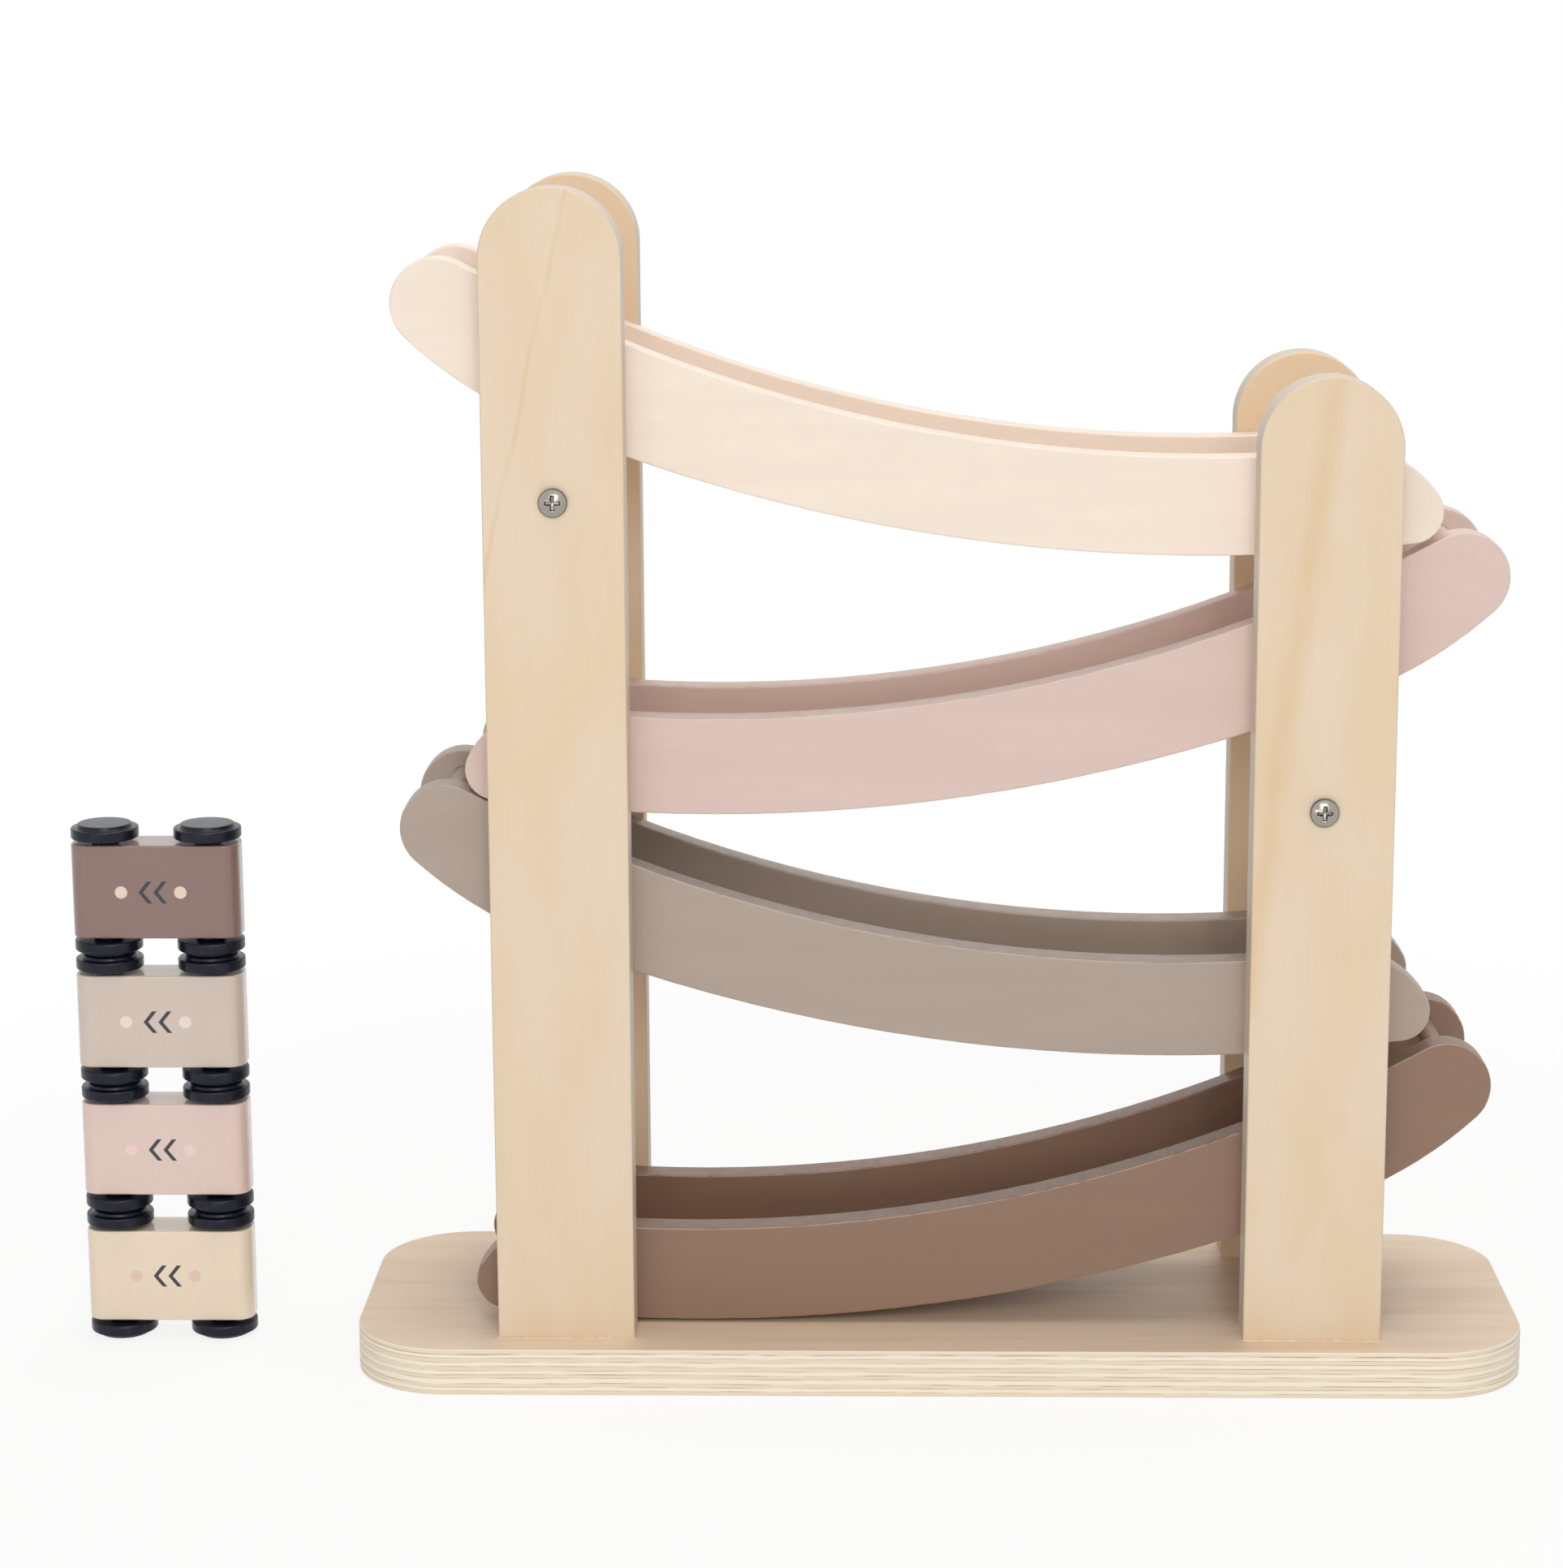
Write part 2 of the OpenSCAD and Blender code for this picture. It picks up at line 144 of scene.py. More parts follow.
def cloud(tree, vector, size, detail):
    """Soft noise from 0 to 1, in patches that measure size along each axis."""
    shrunk = put(tree, "ShaderNodeVectorMath", {0: vector, 1: size}, operation="DIVIDE").outputs[0]
    return put(tree, "ShaderNodeTexNoise", {"Vector": shrunk, "Scale": 1.0, "Detail": detail}).outputs[0]


def colour(red, green, blue):
    """A colour as a paint chart gives it, 0 to 255, turned into the linear values that shaders take."""
    parts = [c / 255 for c in (red, green, blue)]
    linear = [c / 12.92 if c <= 0.04045 else ((c + 0.055) / 1.055) ** 2.4 for c in parts]
    return (*linear, 1.0)


WHITE = (1.0, 1.0, 1.0, 1.0)
print("middle grey of a paint chart in linear values:", [round(c, 3) for c in colour(128, 128, 128)[:3]])


# %% [markdown]
# ## Floor and surroundings
# The toy is shown as in a product picture, on white. A bright backdrop would wash the toy out, so the white
# that the camera sees comes from Light Path in the floor and the world, and not from more light on the toy.
# Near the toy the floor lets a small share of its real shading through, so a soft shadow stays there.

# %% Floor and world
ROOM_LIGHT = 0.36
FLOOR_SIZE = 30.0
SHADOW_NEAR = 0.3
SHADOW_FAR = 0.62
SHADOW_SHARE = 0.16
FLOOR_TONE = (0.92, 0.92, 0.92, 1.0)


def seen_share(tree):
    """1 for rays from the camera and for mirror and glass rays, 0 for rays that carry light."""
    path = put(tree, "ShaderNodeLightPath").outputs
    first = calc(tree, "MAXIMUM", path["Is Camera Ray"], path["Is Glossy Ray"])
    return calc(tree, "MAXIMUM", first, path["Is Transmission Ray"])


def white_floor():
    """White to the camera, with a share of real shading near the toy."""
    made = bpy.data.materials.new("white_floor")
    made.use_nodes = True
    tree = made.node_tree
    tree.nodes.clear()
    lit = put(tree, "ShaderNodeBsdfDiffuse", {"Color": FLOOR_TONE})
    white = put(tree, "ShaderNodeEmission", {"Color": WHITE, "Strength": 1.0})
    place = put(tree, "ShaderNodeTexCoord").outputs["Object"]
    away = put(tree, "ShaderNodeVectorMath", {0: place}, operation="LENGTH").outputs["Value"]
    far = ease(tree, away, SHADOW_NEAR, SHADOW_FAR)
    plain = put(tree, "ShaderNodeMapRange", {"Value": far, "To Min": 1 - SHADOW_SHARE, "To Max": 1.0})
    share = calc(tree, "MULTIPLY", seen_share(tree), plain.outputs[0])
    both = put(tree, "ShaderNodeMixShader", {0: share, 1: lit.outputs[0], 2: white.outputs[0]})
    put(tree, "ShaderNodeOutputMaterial", {"Surface": both.outputs[0]})
    return made


floor_mesh = bpy.data.meshes.new("floor")
corners = [(x * FLOOR_SIZE, y * FLOOR_SIZE, 0) for x, y in ((-1, -1), (1, -1), (1, 1), (-1, 1))]
floor_mesh.from_pydata(corners, [], [(0, 1, 2, 3)])
floor_mesh.materials.append(white_floor())
floor = bpy.data.objects.new("floor", floor_mesh)
scene.collection.objects.link(floor)

world = bpy.data.worlds.new("white_room")
world.use_nodes = True
scene.world = world
sky = world.node_tree
sky.nodes.clear()
strength = put(sky, "ShaderNodeMapRange", {"Value": seen_share(sky), "To Min": ROOM_LIGHT, "To Max": 1.0})
room = put(sky, "ShaderNodeBackground", {"Color": WHITE, "Strength": strength.outputs[0]})
put(sky, "ShaderNodeOutputWorld", {"Surface": room.outputs[0]})
print("floor reaches", FLOOR_SIZE, "m each way; room light", ROOM_LIGHT)

# %% [markdown]
# ## Lamps
# Small lamps would throw hard shadows, so each lamp is a large area light, like a softbox in a studio. The
# front lamp stands above the camera and reaches into the channels, the key lamp lifts the feet of the posts,
# the narrow strip draws a bright line on rounded gloss, and the top lamp lights what faces up. The back lamp
# only lights the back: glossy rays don't see it, or it would glare on the top edges of the rails.

# %% Lamps
LAMP_TARGET = Vector((0.0, 0.0, 0.17))


def softbox(name, place, width, height, watts):
    """A large rectangular lamp that faces the toy."""
    lamp = bpy.data.lights.new(name, "AREA")
    lamp.shape = "RECTANGLE"
    lamp.size = width
    lamp.size_y = height
    lamp.energy = watts
    made = bpy.data.objects.new(name, lamp)
    made.location = place
    made.rotation_mode = "QUATERNION"
    made.rotation_quaternion = (LAMP_TARGET - made.location).to_track_quat("-Z", "Y")
    scene.collection.objects.link(made)


# Place, width and height in metres, and watts
LAMPS = {
    "key_lamp": ((-0.8, -1.9, 0.25), 1.2, 0.4, 4.2),
    "front_lamp": ((0.1, -2.0, 1.15), 1.3, 0.9, 13.4),
    "back_lamp": ((0.3, 2.1, 1.1), 1.2, 0.9, 7.0),
    "strip_lamp": ((0.3, -2.0, 0.6), 0.08, 1.3, 3.0),
    "top_lamp": ((0.15, 0.1, 2.2), 1.4, 1.4, 20.5),
}
for lamp_name, (place, width, height, watts) in LAMPS.items():
    softbox(lamp_name, Vector(place), width, height, watts)
bpy.data.objects["back_lamp"].visible_glossy = False

# %% [markdown]
# ## Shared effects
# Wood and paint share a few effects. They could be wired anew in every material, but a shader group with
# named inputs says it once: grain at two scales, the layers of plywood, wear along rounded edges, a streak in
# veneer and small pale specks. Places reach the groups in millimetres, so sizes can be read as on a ruler.

# %% Shader groups
NUMBER = "NodeSocketFloat"
ARROW = "NodeSocketVector"
FIGURE_HEIGHT = 0.3
PLY_UNEVEN_SIZE = (2.3, 1.0, 1.0)
PLY_UNEVEN = 1.1
PLY_WAVER = 0.55
SEAM_CORE = 0.04
SEAM_REACH = 0.16
DASH_SOFT = 0.06
EDGE_CORE = 0.6
STREAK_WAVER_SIZE = (26.0, 26.0, 34.0)
STREAK_WAVER = 5.0
STREAK_THICK_SIZE = (5.0, 5.0, 22.0)


def shader_group(name, inputs, outputs):
    """An empty shader group with its sockets, and the two nodes inside that hold them."""
    group = bpy.data.node_groups.new(name, "ShaderNodeTree")
    for label, kind in inputs.items():
        group.interface.new_socket(label, in_out="INPUT", socket_type=kind)
    for label in outputs:
        group.interface.new_socket(label, in_out="OUTPUT", socket_type=NUMBER)
    return group, group.nodes.new("NodeGroupInput").outputs, group.nodes.new("NodeGroupOutput").inputs


def grain_group():
    """Broad figure, fine fibres and a height for the bump, all drawn out along the grain."""
    inputs = {"Place": ARROW, "Figure size": ARROW, "Fibre size": ARROW}
    group, given, result = shader_group("grain", inputs, ("Figure", "Fibre", "Height"))
    figure = cloud(group, given["Place"], given["Figure size"], 3.0)
    fibre = cloud(group, given["Place"], given["Fibre size"], 2.0)
    feed(group, result["Figure"], ease(group, figure, 0.3, 0.7))
    feed(group, result["Fibre"], ease(group, fibre, 0.25, 0.75))
    feed(group, result["Height"], calc(group, "ADD", calc(group, "MULTIPLY", figure, FIGURE_HEIGHT), fibre))
    return group


def plies_group():
    """Layers across the thickness of a board: every second one runs across, with a thin seam between."""
    inputs = {"Place": ARROW, "Depth": NUMBER, "Ply": NUMBER, "Waver size": ARROW}
    group, given, result = shader_group("plies", inputs, ("Cross", "Seam"))
    waver = calc(group, "SUBTRACT", cloud(group, given["Place"], given["Waver size"], 2.0), 0.5)
    deep = put(group, "ShaderNodeCombineXYZ", {"X": given["Depth"]}).outputs[0]
    uneven = calc(group, "SUBTRACT", cloud(group, deep, PLY_UNEVEN_SIZE, 1.0), 0.5)
    depth = calc(group, "DIVIDE", given["Depth"], given["Ply"])
    depth = calc(group, "MULTIPLY_ADD", uneven, PLY_UNEVEN, depth)
    depth = calc(group, "ADD", depth, calc(group, "MULTIPLY", waver, PLY_WAVER))
    wave = calc(group, "PINGPONG", calc(group, "ADD", depth, 0.5), 1.0)
    feed(group, result["Cross"], ease(group, wave, 0.42, 0.58))
    away = calc(group, "ABSOLUTE", calc(group, "SUBTRACT", wave, 0.5))
    feed(group, result["Seam"], calc(group, "SUBTRACT", 1.0, ease(group, away, SEAM_CORE, SEAM_REACH)))
    return group


def wear_group():
    """Paint rubbed off rounded edges, in dashes."""
    inputs = {"Place": ARROW, "Edge": NUMBER, "Dash size": ARROW, "Share": NUMBER}
    group, given, result = shader_group("edge_wear", inputs, ("Wear",))
    dash = cloud(group, given["Place"], given["Dash size"], 4.0)
    cutoff = calc(group, "SUBTRACT", 1.0, given["Share"])
    low = calc(group, "SUBTRACT", cutoff, DASH_SOFT)
    high = calc(group, "ADD", cutoff, DASH_SOFT)
    shown = ease(group, dash, low, high)
    core = ease(group, given["Edge"], EDGE_CORE, 1.0)
    feed(group, result["Wear"], calc(group, "MULTIPLY", core, shown))
    return group


def streak_group():
    """One slanting streak in veneer, wavering and fading, that runs up a board."""
    inputs = {"Place": ARROW} | dict.fromkeys(("Foot", "Lean", "Width", "Low", "High"), NUMBER)
    group, given, result = shader_group("veneer_streak", inputs, ("Streak",))
    place = put(group, "ShaderNodeSeparateXYZ", {0: given["Place"]}).outputs
    waver = calc(group, "SUBTRACT", cloud(group, given["Place"], STREAK_WAVER_SIZE, 3.0), 0.5)
    line = calc(group, "MULTIPLY_ADD", place["Z"], given["Lean"], given["Foot"])
    line = calc(group, "MULTIPLY_ADD", waver, STREAK_WAVER, line)
    away = calc(group, "ABSOLUTE", calc(group, "SUBTRACT", place["X"], line))
    body = calc(group, "SUBTRACT", 1.0, ease(group, away, 0.0, given["Width"]))
    thick = ease(group, cloud(group, given["Place"], STREAK_THICK_SIZE, 2.0), 0.1, 0.55)
    above = calc(group, "GREATER_THAN", place["Z"], given["Low"])
    below = calc(group, "LESS_THAN", place["Z"], given["High"])
    shown = calc(group, "MULTIPLY", above, below)
    feed(group, result["Streak"], calc(group, "MULTIPLY", calc(group, "MULTIPLY", body, thick), shown))
    return group


def speck_group():
    """Small round specks, scattered: each cell of a grid has one or none."""
    inputs = {"Place": ARROW, "Spacing": NUMBER, "Radius": NUMBER, "Share": NUMBER}
    group, given, result = shader_group("specks", inputs, ("Speck",))
    scale = calc(group, "DIVIDE", 1.0, given["Spacing"])
    cells = put(group, "ShaderNodeTexVoronoi", {"Vector": given["Place"], "Scale": scale}).outputs
    reach = calc(group, "DIVIDE", given["Radius"], given["Spacing"])
    near = calc(group, "LESS_THAN", cells["Distance"], reach)
    pick = put(group, "ShaderNodeSeparateColor", {0: cells["Color"]}).outputs[0]
    chosen = calc(group, "LESS_THAN", pick, given["Share"])
    feed(group, result["Speck"], calc(group, "MULTIPLY", near, chosen))
    return group


GRAIN = grain_group()
PLIES = plies_group()
WEAR = wear_group()
STREAK = streak_group()
SPECKS = speck_group()
print("shader groups:", [g.name for g in bpy.data.node_groups])


# %% [markdown]
# ## Starting a finish
# Every finish on the toy starts alike: a Principled shader, and the place on the object in millimetres. A
# solid texture of that place needs no unwrapping, and a board shows the same grain on its face and its edge.
# The other helpers place a shared effect, raise a shallow relief, let the gloss vary and read a number that
# the mesh carries.

# %% Starting a finish
def finish(name, sockets):
    """A new material: its tree, its shader with the plain values set, and places in millimetres."""
    made = bpy.data.materials.new(name)
    made.use_nodes = True
    tree = made.node_tree
    shader = tree.nodes["Principled BSDF"]
    for label, value in sockets.items():
        shader.inputs[label].default_value = value
    place = put(tree, "ShaderNodeTexCoord").outputs["Object"]
    ruler = put(tree, "ShaderNodeVectorMath", {0: place, "Scale": 1 / MM}, operation="SCALE").outputs[0]
    return made, tree, shader, ruler


def effect(tree, group, **sockets):
    """A shared effect, placed with its own values. An underscore in a name stands for a space."""
    named = {label.replace("_", " "): value for label, value in sockets.items()}
    return put(tree, "ShaderNodeGroup", named, node_tree=group).outputs


def bump(tree, shader, height, depth, strength):
    """A relief that stands up to depth millimetres off the surface."""
    sockets = {"Height": height, "Distance": depth * MM, "Strength": strength}
    feed(tree, shader.inputs["Normal"], put(tree, "ShaderNodeBump", sockets).outputs[0])


def vary_gloss(tree, shader, value, smooth, dull):
    """Roughness that runs from smooth to dull as a value runs from 0 to 1."""
    rough = put(tree, "ShaderNodeMapRange", {"Value": value, "To Min": smooth, "To Max": dull})
    feed(tree, shader.inputs["Roughness"], rough.outputs[0])


def attribute(tree, name):
    """A number that was stored in the mesh when it was made."""
    return put(tree, "ShaderNodeAttribute", attribute_name=name).outputs["Fac"]


print("helpers for finishes: finish, effect, bump, vary_gloss, attribute")

# %% [markdown]
# ## Birch posts
# The posts are cut from birch plywood: a smooth pale veneer on the faces, and the layers of the board on the
# cut edges. A picture of wood would show seams at the edges, so this is a solid texture: the depth below the
# face tells which layer a point lies in, and the layers also come out right on the round tops. Two amber
# streaks run up the veneer, one on each front post. The back posts are tinted warmer all over, which is
# painted light: it stands in for the warm bounce light in their shade between the rails.

# %% Birch posts
BOARD_PLIES = 11
VENEER_LIGHT = colour(229, 210, 185)
VENEER_WARM = colour(227, 204, 172)
# Painted light: a warmer tint on the back posts for the warm bounce light in their shade
BACK_POST_BOUNCE_TINT = colour(234, 206, 171)
VENEER_AMBER = colour(219, 182, 130)
LAYER_LONG = colour(222, 213, 201)
LAYER_CROSS = colour(201, 187, 168)
LAYER_SEAM = colour(176, 154, 126)
POST_FIGURE = (19.0, 40.0, 62.0)
POST_FIBRE = (0.5, 30.0, 9.0)
POST_WAVER = (9.0, 9.0, 30.0)
TALL_STREAK = {"Foot": -197.5, "Lean": 0.231, "Width": 1.3, "Low": 150.0, "High": 380.0}
SHORT_STREAK = {"Foot": 77.3, "Lean": 0.1285, "Width": 6.5, "Low": 120.0, "High": 330.0}
TALL_STREAK_SHARE = 0.4
SHORT_STREAK_SHARE = 0.42
POST_FIBRE_SHARE = 0.07
BACK_POST_BOUNCE_SHARE = 0.9
POST_SEAM_SHARE = 0.35
POST_FACE_PLIES = 0.75


def birch_posts():
    """Veneer with two streaks on the faces, layers on the edges."""
    low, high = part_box("front_tall_post")
    inner = -high.y / MM
    thick = (high.y - low.y) / MM
    made, tree, shader, place = finish("birch_posts", {"Roughness": 0.48, "Specular IOR Level": 0.4})
    grain = effect(tree, GRAIN, Place=place, Figure_size=POST_FIGURE, Fibre_size=POST_FIBRE)
    thin = effect(tree, STREAK, Place=place, **TALL_STREAK)
    wide = effect(tree, STREAK, Place=place, **SHORT_STREAK)
    face = mix(tree, grain["Figure"], VENEER_LIGHT, VENEER_WARM)
    face = mix(tree, calc(tree, "MULTIPLY", thin["Streak"], TALL_STREAK_SHARE), face, VENEER_AMBER)
    face = mix(tree, calc(tree, "MULTIPLY", wide["Streak"], SHORT_STREAK_SHARE), face, VENEER_AMBER)
    face = mix(tree, calc(tree, "MULTIPLY", grain["Fibre"], POST_FIBRE_SHARE), face, VENEER_AMBER)
    depthwise = put(tree, "ShaderNodeSeparateXYZ", {0: place}).outputs["Y"]
    # Painted light: the back posts, behind the middle, take the warmer tint of bounce light in their shade
    behind = calc(tree, "GREATER_THAN", depthwise, 0.0)
    face = mix(tree, calc(tree, "MULTIPLY", behind, BACK_POST_BOUNCE_SHARE), face, BACK_POST_BOUNCE_TINT)
    across = calc(tree, "ABSOLUTE", depthwise)
    depth = calc(tree, "SUBTRACT", across, inner)
    ply = thick / BOARD_PLIES
    layers = effect(tree, PLIES, Place=place, Depth=depth, Ply=ply, Waver_size=POST_WAVER)
    edge = mix(tree, layers["Cross"], LAYER_LONG, LAYER_CROSS)
    edge = mix(tree, calc(tree, "MULTIPLY", layers["Seam"], POST_SEAM_SHARE), edge, LAYER_SEAM)
    off_middle = calc(tree, "ABSOLUTE", calc(tree, "SUBTRACT", depth, thick / 2))
    inside = calc(tree, "LESS_THAN", off_middle, thick / 2 - POST_FACE_PLIES * ply)
    feed(tree, shader.inputs["Base Color"], mix(tree, inside, face, edge))
    bump(tree, shader, grain["Height"], 0.05, 0.5)
    return made


BIRCH = birch_posts()
print("finish:", BIRCH.name)

# %% [markdown]
# ## Plywood base
# The base is the same kind of board, lying flat: its layers are stacked upwards and its cut edge shows all
# round. The grain of its top runs along the toy. The rim is rubbed pale, and the mesh marks it with an
# attribute, so the pale line stays on the true edge.

# %% Plywood base
BASE_TOP = colour(239, 218, 193)
BASE_ROSE = colour(232, 206, 178)
BASE_LONG = colour(246, 236, 217)
BASE_CROSS = colour(236, 220, 195)
BASE_SEAM = colour(193, 162, 130)
BASE_RUBBED = colour(250, 242, 228)
BASE_FIGURE = (110.0, 7.0, 60.0)
BASE_FIBRE = (18.0, 0.5, 30.0)
BASE_WAVER = (34.0, 34.0, 6.0)
BASE_END_GRAIN = (14.0, 14.0, 0.7)
BASE_FIBRE_SHARE = 0.11
BASE_FACE_PLIES = 0.4
BASE_RUBBED_SHARE = 0.6


def plywood_base():
    """Veneer on top and below, broken seams between the layers of the edge, a rubbed rim."""
    low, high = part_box("base_board")
    thick = (high.z - low.z) / MM
    ply = thick / BOARD_PLIES
    made, tree, shader, place = finish("plywood_base", {"Roughness": 0.45, "Specular IOR Level": 0.4})
    grain = effect(tree, GRAIN, Place=place, Figure_size=BASE_FIGURE, Fibre_size=BASE_FIBRE)
    face = mix(tree, grain["Figure"], BASE_TOP, BASE_ROSE)
    face = mix(tree, calc(tree, "MULTIPLY", grain["Fibre"], BASE_FIBRE_SHARE), face, BASE_SEAM)
    depth = put(tree, "ShaderNodeSeparateXYZ", {0: place}).outputs["Z"]
    layers = effect(tree, PLIES, Place=place, Depth=depth, Ply=ply, Waver_size=BASE_WAVER)
    ends = cloud(tree, place, BASE_END_GRAIN, 3.0)
    edge = mix(tree, layers["Cross"], BASE_LONG, BASE_CROSS)
    broken = calc(tree, "MULTIPLY", layers["Seam"], ease(tree, ends, 0.35, 0.65))
    edge = mix(tree, broken, edge, BASE_SEAM)
    off_middle = calc(tree, "ABSOLUTE", calc(tree, "SUBTRACT", depth, thick / 2))
    inside = calc(tree, "LESS_THAN", off_middle, thick / 2 - BASE_FACE_PLIES * ply)
    rim = ease(tree, attribute(tree, "edge"), 0.5, 1.0)
    rubbed = calc(tree, "MULTIPLY", rim, BASE_RUBBED_SHARE)
    tone = mix(tree, rubbed, mix(tree, inside, face, edge), BASE_RUBBED)
    feed(tree, shader.inputs["Base Color"], tone)
    bump(tree, shader, calc(tree, "ADD", grain["Height"], layers["Cross"]), 0.05, 0.5)
    return made


PLYWOOD = plywood_base()
print("finish:", PLYWOOD.name)

# %% [markdown]
# ## Paint on the tracks
# The rails wear one coat of satin paint. The grain telegraphs through it along the rail, and along the
# rounded edges it has rubbed thin, which shows as a broken pale line. The rounded edges are marked by an
# attribute when the mesh is made, so the wear follows the true edge and not a guess.

# %% Track paint
TRACK_PAINT = {
    "cream": colour(245, 228, 212),
    "pink": colour(220, 194, 183),
    "taupe": colour(175, 158, 144),
    "brown": colour(143, 113, 94),
}
TRACK_WORN = {
    "cream": colour(250, 238, 228),
    "pink": colour(233, 210, 200),
    "taupe": colour(208, 190, 174),
    "brown": colour(200, 170, 147),
}
WORN_SHARE = {"cream": 0.45, "pink": 0.52, "taupe": 0.54, "brown": 0.55}
WORN_STRENGTH = 0.55
WORN_DASH = (7.0, 3.0, 3.0)
PAINT_FIGURE = (60.0, 20.0, 9.0)
PAINT_FIBRE = (7.0, 7.0, 0.35)
PAINT_DEEP = 0.93
PAINT_FIGURE_SHARE = 0.6
PAINT_FIBRE_SHARE = 0.35


def deepened(tone, share):
    """The same colour with part of its light taken away."""
    return (*(c * share for c in tone[:3]), 1.0)


def track_paint(name):
    """Satin paint of one track, worn along the edges, with a few specks."""
    made, tree, shader, place = finish(f"{name}_paint", {"Specular IOR Level": 0.5})
    grain = effect(tree, GRAIN, Place=place, Figure_size=PAINT_FIGURE, Fibre_size=PAINT_FIBRE)
    edge = attribute(tree, "edge")
    worn = effect(tree, WEAR, Place=place, Edge=edge, Dash_size=WORN_DASH, Share=WORN_SHARE[name])
    specks = effect(tree, SPECKS, Place=place, Spacing=16.0, Radius=0.28, Share=0.06)
    base = TRACK_PAINT[name]
    deep = deepened(base, PAINT_DEEP)
    tone = mix(tree, calc(tree, "MULTIPLY", grain["Figure"], PAINT_FIGURE_SHARE), base, deep)
    tone = mix(tree, calc(tree, "MULTIPLY", grain["Fibre"], PAINT_FIBRE_SHARE), tone, deep)
    rubbed = calc(tree, "MULTIPLY", worn["Wear"], WORN_STRENGTH)
    mark = calc(tree, "MAXIMUM", rubbed, specks["Speck"])
    feed(tree, shader.inputs["Base Color"], mix(tree, mark, tone, TRACK_WORN[name]))
    vary_gloss(tree, shader, grain["Fibre"], 0.36, 0.46)
    bump(tree, shader, grain["Height"], 0.04, 0.5)
    return made


PAINT = {name: track_paint(name) for name in TRACKS}
print("track paints:", [m.name for m in PAINT.values()])

# %% [markdown]
# ## Rounded plates
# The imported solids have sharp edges, as a drawing has. A real board has been sanded. A Bevel modifier would
# also round the rims of holes and grooves, so a function does it: it copies the board, joins its triangles
# back into flat faces, and rounds only the outline of its two flat sides, which is always the longest loop.

# %% Rounding a plate
WELD = 1e-6
SAME_PLANE = math.radians(0.4)
SHARP = math.radians(35)
ROUND_STEPS = 3


def loops_of(edges):
    """Edges sorted into loops that hang together."""
    left = set(edges)
    loops = []
    while left:
        loop = []
        queue = [left.pop()]
        while queue:
            edge = queue.pop()
            loop.append(edge)
            near = {e for v in edge.verts for e in v.link_edges if e in left}
            left -= near
            queue += near
        loops.append(loop)
    return loops


def spread(edges):
    """How far a loop of edges reaches: the three lengths of its box added up."""
    points = [v.co for e in edges for v in e.verts]
    return sum(max(p[i] for p in points) - min(p[i] for p in points) for i in range(3))


def rims(bm, axis):
    """The outline of the two flat sides of a plate that lies square to an axis."""
    levels = [v.co[axis] for v in bm.verts]
    picked = []
    for level in (min(levels), max(levels)):
        flat = [e for e in bm.edges if all(abs(v.co[axis] - level) < WELD * 10 for v in e.verts)]
        sharp = [e for e in flat if e.calc_face_angle(0) > SHARP]
        picked += max(loops_of(sharp), key=spread)
    return picked


def settled(obj):
    """Turns what the modifiers make into a plain mesh and removes the modifiers."""
    graph = bpy.context.evaluated_depsgraph_get()
    made = bpy.data.meshes.new_from_object(
        obj.evaluated_get(graph), preserve_all_data_layers=True, depsgraph=graph
    )
    obj.modifiers.clear()
    obj.data = made
    return obj


def new_piece(name, bm, material):
    """A piece from a bmesh: smooth faces, sharp edges kept, flat faces shaded flat."""
    for face in bm.faces:
        face.smooth = True
    for edge in bm.edges:
        edge.smooth = edge.calc_face_angle(0) < SHARP
    mesh = bpy.data.meshes.new(name)
    bm.to_mesh(mesh)
    bm.free()
    mesh.materials.append(material)
    made = bpy.data.objects.new(name, mesh)
    scene.collection.objects.link(made)
    weighted = made.modifiers.new("flat_faces", "WEIGHTED_NORMAL")
    weighted.keep_sharp = True
    weighted.weight = 100
    return settled(made)


def rounded_plate(node, axis, radius, material):
    """A copy of a board with the rims of its two flat sides rounded. The rounded strips are marked."""
    bm = bmesh.new()
    bm.from_mesh(frame["nodes"][node].data)
    bmesh.ops.remove_doubles(bm, verts=bm.verts, dist=WELD)
    bmesh.ops.dissolve_limit(bm, angle_limit=SAME_PLANE, verts=bm.verts, edges=bm.edges)
    made = bmesh.ops.bevel(
        bm, geom=rims(bm, axis), offset=radius, offset_type="OFFSET", segments=ROUND_STEPS,
        profile=0.5, affect="EDGES", clamp_overlap=False,
    )
    strips = set(made["faces"])
    mark = bm.verts.layers.float.new("edge")
    for vert in bm.verts:
        vert[mark] = 1.0 if all(f in strips for f in vert.link_faces) else 0.0
    return new_piece(f"{node}_finished", bm, material)


def dress(piece, body, slot, *stood_for):
    """A finished piece rides on its body and stands for its nodes, which it hides. The slot is not used."""
    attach(piece, body)
    if stood_for:
        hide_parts(*stood_for)
    return piece


print("rims are rounded in", ROUND_STEPS, "steps")

# %% [markdown]
# ## Base, posts and rails
# All thirteen boards of the toy are plates: the base lies flat, so its rims are square to Z, and posts and
# rails stand with their faces to the front, so theirs are square to Y. Sanding takes off little, so the
# rounds are well under a millimetre; a wider round would make the rails look like cushions.

# %% Base, posts and rails
AXIS_Y = 1
AXIS_Z = 2
BASE_ROUND = 0.7 * MM
POST_ROUND = 0.6 * MM
RAIL_ROUND = 0.6 * MM

